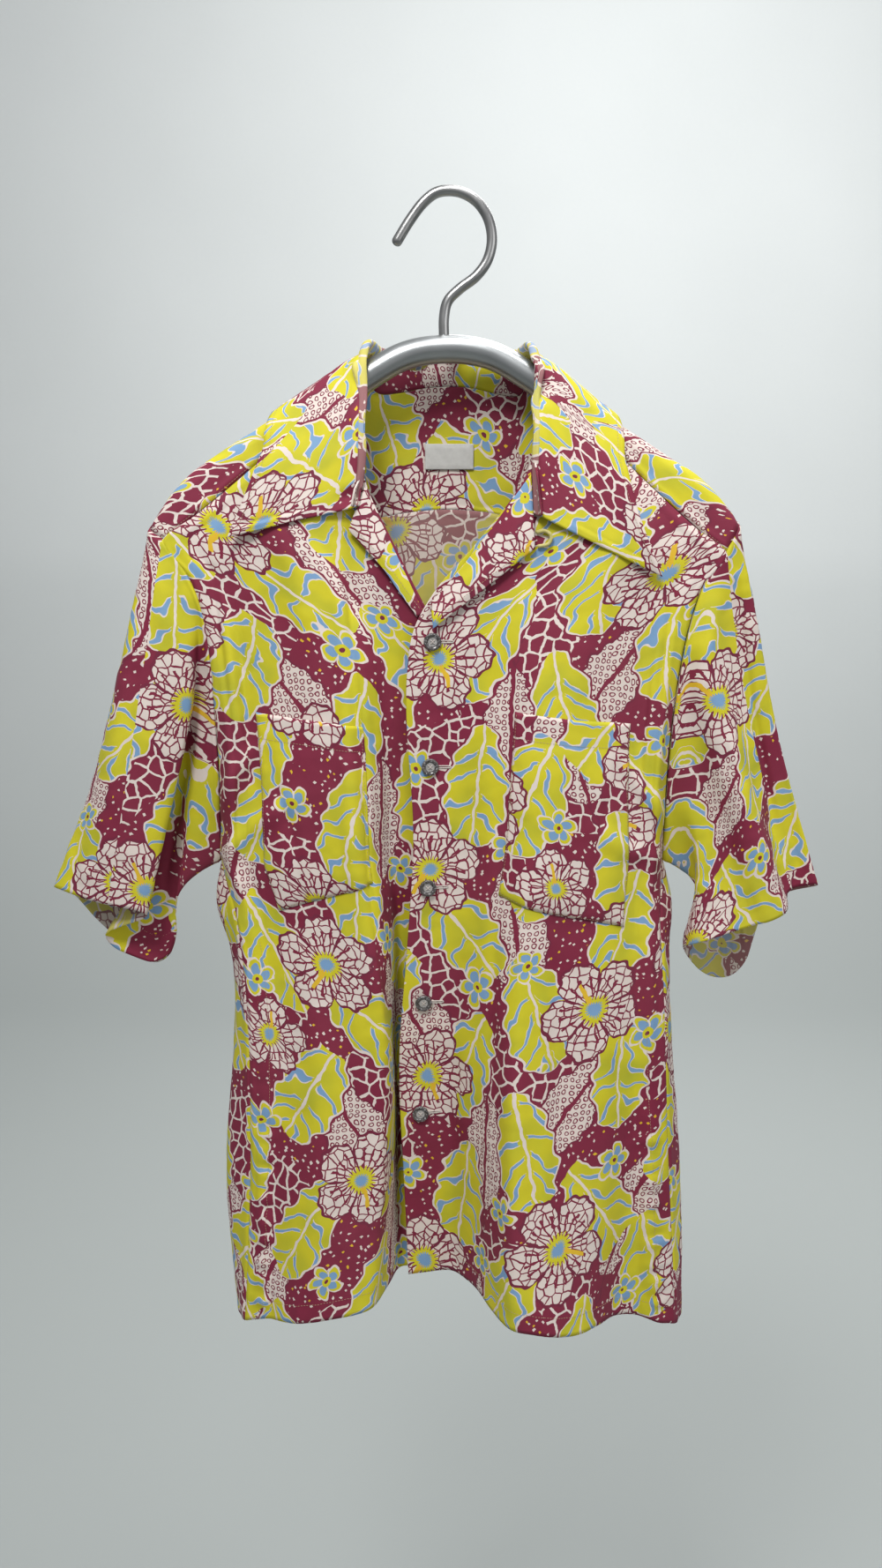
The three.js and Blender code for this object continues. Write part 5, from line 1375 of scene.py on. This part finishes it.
for k, (x, z) in enumerate(BUTTONS):
    centre, face = on_surface(surfaces["left"], x, z)
    across, up = upright(face)
    centre = centre + face * 0.8
    turn = np.linspace(0, 2 * np.pi, BUTTON_SIDES, endpoint=False)[:, None]
    around = np.cos(turn) * across + np.sin(turn) * up
    places, faces, kinds = [], [], []
    for r, h in BUTTON_PROFILE:
        notch = 1 - 0.02 * (r > 0.9) * (np.sin(turn * 9 + k) > 0.4)
        places.append(centre + around * r * BUTTON_RADIUS * notch + face * h * BUTTON_THICK)
    for i in range(len(BUTTON_PROFILE) - 1):
        for j in range(BUTTON_SIDES):
            a, b = i * BUTTON_SIDES + j, i * BUTTON_SIDES + (j + 1) % BUTTON_SIDES
            faces.append((a, b, b + BUTTON_SIDES, a + BUTTON_SIDES))
            kinds.append(1 if i > 8 else 0)
    finishes = [shell_shader.material, pale_shader.material]
    button = new_piece(f"button_{k + 1}_shell", np.vstack(places), faces, finishes, kinds)
    shape = bmesh.new()
    shape.from_mesh(button.data)
    bmesh.ops.remove_doubles(shape, verts=shape.verts, dist=1e-6)
    bmesh.ops.recalc_face_normals(shape, faces=shape.faces)
    shape.to_mesh(button.data)
    shape.free()
    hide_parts(f"button_{k + 1}")
    wear(button)
    floor = centre + face * 0.55 * BUTTON_THICK
    corners = [floor + (across * a + up * b) * HOLE_AT for a, b in ((-1, -1), (1, 1), (1, -1), (-1, 1))]
    strands = []
    for start, end in (corners[:2], corners[2:]):
        middle = (start + end) / 2 + face * 0.55
        strands.append([start - face * 0.3, start + face * 0.25, middle, end + face * 0.25, end - face * 0.3])
    for m, line in enumerate(strands):
        name = f"button_{k + 1}_thread_{m + 1}"
        wear(round_rod(name, line, THREAD_RADIUS, 16, 8, 0.2, thread_shader.material))

# ---- Buttonholes ----
# A narrow ring of thread on the left front beside each button, for a worked slit that isn't cut.
HOLE_FROM = 4.0
HOLE_TO = 17.0
HOLE_HALF_WIDTH = 0.85
HOLE_THREAD = 0.55
for k, (x, z) in enumerate(BUTTONS):
    rim = []
    for turn in np.linspace(0, 2 * np.pi, 25)[:-1]:
        along = mix(HOLE_FROM, HOLE_TO, 0.5 + 0.5 * math.copysign(abs(math.cos(turn)) ** 0.5, math.cos(turn)))
        beside = HOLE_HALF_WIDTH * math.copysign(abs(math.sin(turn)) ** 0.6, math.sin(turn))
        place, face = on_surface(surfaces["left"], x + along, z + beside)
        rim.append(place + face * 0.2)
    hole = round_rod(f"buttonhole_{k + 1}", [*rim, rim[0]], HOLE_THREAD, 90, 8, 0.2, thread_shader.material)
    wear(hole)

# ---- Stitching ----
# Cotton thread in short even stitches, along the seams of the yoke, the pockets, the collar,
# the hems, the vents and the lapels.
STITCH_PITCH = 2.6
STITCH_LENGTH = 2.0
STITCH_THICK = 0.42


def stitch_tree(material):
    tree = bpy.data.node_groups.new("stitch_rows", "GeometryNodeTree")
    face = tree.interface
    face.new_socket("Path", in_out="INPUT", socket_type="NodeSocketGeometry")
    for socket, value in (("Pitch", STITCH_PITCH), ("Length", STITCH_LENGTH), ("Thickness", STITCH_THICK)):
        face.new_socket(socket, in_out="INPUT", socket_type="NodeSocketFloat").default_value = value * MM
    face.new_socket("Stitches", in_out="OUTPUT", socket_type="NodeSocketGeometry")

    def node(kind, settings=None, **inputs):
        made = tree.nodes.new(kind)
        for key, value in (settings or {}).items():
            setattr(made, key, value)
        for key, value in inputs.items():
            socket = made.inputs[key.replace("_", " ")]
            if isinstance(value, bpy.types.NodeSocket):
                tree.links.new(value, socket)
            else:
                socket.default_value = value
        return made

    start = node("NodeGroupInput")
    pitch, length, thick = (start.outputs[k] for k in ("Pitch", "Length", "Thickness"))
    outward = node("GeometryNodeInputNamedAttribute", {"data_type": "FLOAT_VECTOR"}, Name="outward")
    line = node("GeometryNodeMeshToCurve", Mesh=start.outputs["Path"])
    line = node("GeometryNodeResampleCurve", {"mode": "LENGTH"}, Curve=line.outputs["Curve"], Length=pitch)
    along = node("GeometryNodeInputTangent")
    stand = node("FunctionNodeAlignRotationToVector", {"axis": "Z"}, Vector=outward.outputs["Attribute"])
    turn = node(
        "FunctionNodeAlignRotationToVector", {"axis": "X", "pivot_axis": "Z"},
        Rotation=stand.outputs["Rotation"], Vector=along.outputs["Tangent"],
    )
    shape = node("GeometryNodeMeshUVSphere", Segments=6, Rings=4, Radius=0.5)
    size = node("ShaderNodeCombineXYZ", X=length, Y=thick, Z=thick)
    rows = node(
        "GeometryNodeInstanceOnPoints", Points=line.outputs["Curve"], Instance=shape.outputs["Mesh"],
        Rotation=turn.outputs["Rotation"], Scale=size.outputs["Vector"],
    )
    rows = node("GeometryNodeRealizeInstances", Geometry=rows.outputs["Instances"])
    rows = node("GeometryNodeSetMaterial", Geometry=rows.outputs["Geometry"], Material=material)
    end = node("NodeGroupOutput")
    tree.links.new(rows.outputs["Geometry"], end.inputs["Stitches"])
    return tree


stitch_shader = Shader("stitching_thread", Sheen_Weight=0.2)
place = stitch_shader.node("ShaderNodeTexCoord", output=3)
ply = stitch_shader.noise(place, 1800.0, 2.0)
tone = stitch_shader.noise(place, 25.0, 1.0)
shade = stitch_shader.blend(tone * 1.6 - 0.3, (0.42, 0.28, 0.2, 1), (0.52, 0.47, 0.2, 1))
shade = stitch_shader.blend(ply * 0.4, shade, (0.25, 0.08, 0.1, 1))
stitch_shader.feed(stitch_shader.surface.inputs["Base Color"], shade)
stitch_shader.feed(stitch_shader.surface.inputs["Roughness"], 0.55 + ply * 0.3)
stitches = stitch_tree(stitch_shader.material)


def inset(grid, side, distance):
    """The places and directions of a row `distance` in from one edge of a fine sheet."""
    places, faces = grid
    if side in ("left", "right"):
        places, faces = places.transpose(1, 0, 2), faces.transpose(1, 0, 2)
    if side in ("right", "bottom"):
        places, faces = places[::-1], faces[::-1]
    steps = np.linalg.norm(np.diff(places, axis=0), axis=2)
    gone = np.concatenate([np.zeros((1, places.shape[1])), np.cumsum(steps, axis=0)])
    line, out = [], []
    for j in range(places.shape[1]):
        k = min(int(np.searchsorted(gone[:, j], distance)), len(places) - 1)
        t = (distance - gone[k - 1, j]) / max(gone[k, j] - gone[k - 1, j], 1e-6)
        line.append(mix(places[k - 1, j], places[k, j], t))
        out.append(faces[k, j])
    return np.array(line), np.array(out)


def trimmed(row, start, end):
    """The part of a stitch row between two distances along it, the second from its end."""
    line, out = row
    gone = np.concatenate([[0], np.cumsum(np.linalg.norm(np.diff(line, axis=0), axis=1))])
    keep = (gone >= start) & (gone <= gone[-1] - end)
    return line[keep], out[keep]


def sew(name, rows, lift=0.1):
    places, faces, edges = [], [], []
    for line, out in rows:
        first = sum(len(p) for p in places)
        places.append(line + out * lift)
        faces.append(out)
        edges.extend((first + k, first + k + 1) for k in range(len(line) - 1))
    mesh = bpy.data.meshes.new(f"{name}_path")
    mesh.from_pydata((np.concatenate(places) * MM).tolist(), edges, [])
    directions = mesh.attributes.new("outward", "FLOAT_VECTOR", "POINT")
    directions.data.foreach_set("vector", np.concatenate(faces).ravel())
    path = bpy.data.objects.new(f"{name}_path", mesh)
    bpy.context.scene.collection.objects.link(path)
    rows_modifier = path.modifiers.new("stitches", "NODES")
    rows_modifier.node_group = stitches
    bpy.context.view_layer.update()
    evaluated = path.evaluated_get(bpy.context.evaluated_depsgraph_get())
    made = bpy.data.meshes.new_from_object(evaluated)
    bpy.data.objects.remove(path)
    piece = bpy.data.objects.new(name, made)
    bpy.context.scene.collection.objects.link(piece)
    made.polygons.foreach_set("use_smooth", [True] * len(made.polygons))
    wear(piece)
    return piece


VENT_TOP = {"right": 560, "left": 610}
VENT_STITCH = 20
HEM_STITCH = 16
CUFF_STITCH = 24
POCKET_HEM_STITCH = 21
EDGE_STITCH = 1.8
for side, outer_edge in (("right", "left"), ("left", "right")):
    front = surfaces[side]
    sew(f"front_{side}_stitching", [
        trimmed(inset(front, outer_edge, VENT_STITCH), VENT_TOP[side], 6),
        trimmed(inset(front, "bottom", HEM_STITCH), 18, 4),
    ])
    pocket = surfaces[f"pocket_{side}"]
    sew(f"pocket_{side}_stitching", [
        trimmed(inset(pocket, "left", EDGE_STITCH), 2, 2),
        trimmed(inset(pocket, "right", EDGE_STITCH), 2, 2),
        trimmed(inset(pocket, "bottom", EDGE_STITCH), 2, 2),
        trimmed(inset(pocket, "top", POCKET_HEM_STITCH), 2, 2),
    ])
    sleeve = surfaces[f"sleeve_{side}"]
    line, out = inset(sleeve, "bottom", CUFF_STITCH)
    sew(f"sleeve_{side}_stitching", [(np.vstack([line, line[:1]]), np.vstack([out, out[:1]]))])
    sew(f"lapel_{side}_stitching", [trimmed(inset(surfaces[f"lapel_{side}"], "right", 5.5), 4, 6)])
sew("collar_stitching", [
    trimmed(inset(surfaces["collar"], "right", 6), 7, 7),
    tuple(part[60:] for part in inset(surfaces["collar"], "top", 6)),
    tuple(part[60:] for part in inset(surfaces["collar"], "bottom", 6)),
])
back_seam = inset(surfaces["yoke"], "bottom", EDGE_STITCH)
fronts_seam = inset(surfaces["yoke"], "top", EDGE_STITCH)
seam_columns = ROWS_TO_CORNER * 6
sew("yoke_stitching", [
    back_seam,
    tuple(part[:seam_columns] for part in fronts_seam),
    tuple(part[-seam_columns:] for part in fronts_seam),
])
sew("back_stitching", [trimmed(inset(surfaces["back"], "bottom", HEM_STITCH), 8, 8)])

# ---- Wall and floor ----
# A plain pale grey wall well behind the shirt, that turns into the floor in a wide cove and is painted a
# darker grey low down: painted shade for the light that falls off there.
STAGE_HALF = 9000
FLOOR_Z = -1900
WALL_Y = 4600
COVE = 1500
profile = [(-7000, FLOOR_Z), (WALL_Y - COVE, FLOOR_Z)]
for turn in np.linspace(0, np.pi / 2, 25)[1:]:
    profile.append((WALL_Y - COVE + COVE * math.sin(turn), FLOOR_Z + COVE * (1 - math.cos(turn))))
profile.append((WALL_Y, 5000))
plaster = Shader("pale_plaster")
place = plaster.node("ShaderNodeTexCoord", output=3)
patch = plaster.noise(place, 1.3, 3.0)
grain = plaster.noise(place, 55.0, 3.0)
tone = plaster.blend(patch * 0.8 + grain * 0.2, (0.58, 0.605, 0.6, 1), (0.66, 0.685, 0.68, 1))
height = Value(plaster, plaster.node("ShaderNodeSeparateXYZ", {}, {0: place}).socket.node.outputs[2])
# painted shade: the plaster's colour turns a darker grey towards the bottom, in place of the light falling
# off low down
painted_shade_low = (height * -0.48 - 0.1).math("MAXIMUM", 0.0).math("MINIMUM", 1.0)
plaster.feed(plaster.surface.inputs["Base Color"], plaster.blend(painted_shade_low, tone, (0.3, 0.325, 0.315, 1)))
plaster.feed(plaster.surface.inputs["Roughness"], 0.8 + patch * 0.15)
places = [(x, y, z) for y, z in profile for x in (-STAGE_HALF, STAGE_HALF)]
faces = [(2 * k, 2 * k + 1, 2 * k + 3, 2 * k + 2) for k in range(len(profile) - 1)]
backdrop = new_piece("backdrop", places, faces, [plaster.material])

# ---- Light ----
# Soft studio light: a key in front and above, a fill from the right, a lamp overhead, one
# behind the shirt and one that washes the wall.
world = bpy.data.worlds.new("studio")
world.use_nodes = True
world.node_tree.nodes["Background"].inputs["Color"].default_value = (0.95, 0.97, 1.0, 1)
world.node_tree.nodes["Background"].inputs["Strength"].default_value = 0.34
bpy.context.scene.world = world
LIGHTS = [
    ("key", (-0.5, -1.5, 1.5), (0, 0, -0.5), 0.7, 41),
    ("fill", (1.6, -1.6, 0.3), (0, 0, -0.5), 1.5, 9),
    ("top", (0.4, -0.5, 1.7), (0, 0.2, -0.4), 0.8, 20),
    ("back", (0.7, 2.6, 1.4), (0, 0, -0.5), 1.6, 30),
    ("wall", (0.9, 1.0, 2.2), (0.5, 4.6, 0.3), 2.0, 150),
]
for name, where, target, size, power in LIGHTS:
    lamp = bpy.data.lights.new(name, "AREA")
    lamp.shape = "DISK"
    lamp.size = size
    lamp.energy = power
    holder = bpy.data.objects.new(name, lamp)
    holder.location = where
    holder.rotation_euler = (Vector(target) - Vector(where)).to_track_quat("-Z", "Y").to_euler()
    bpy.context.scene.collection.objects.link(holder)
view = bpy.context.scene.view_settings
view.view_transform = "Standard"
view.look = "None"
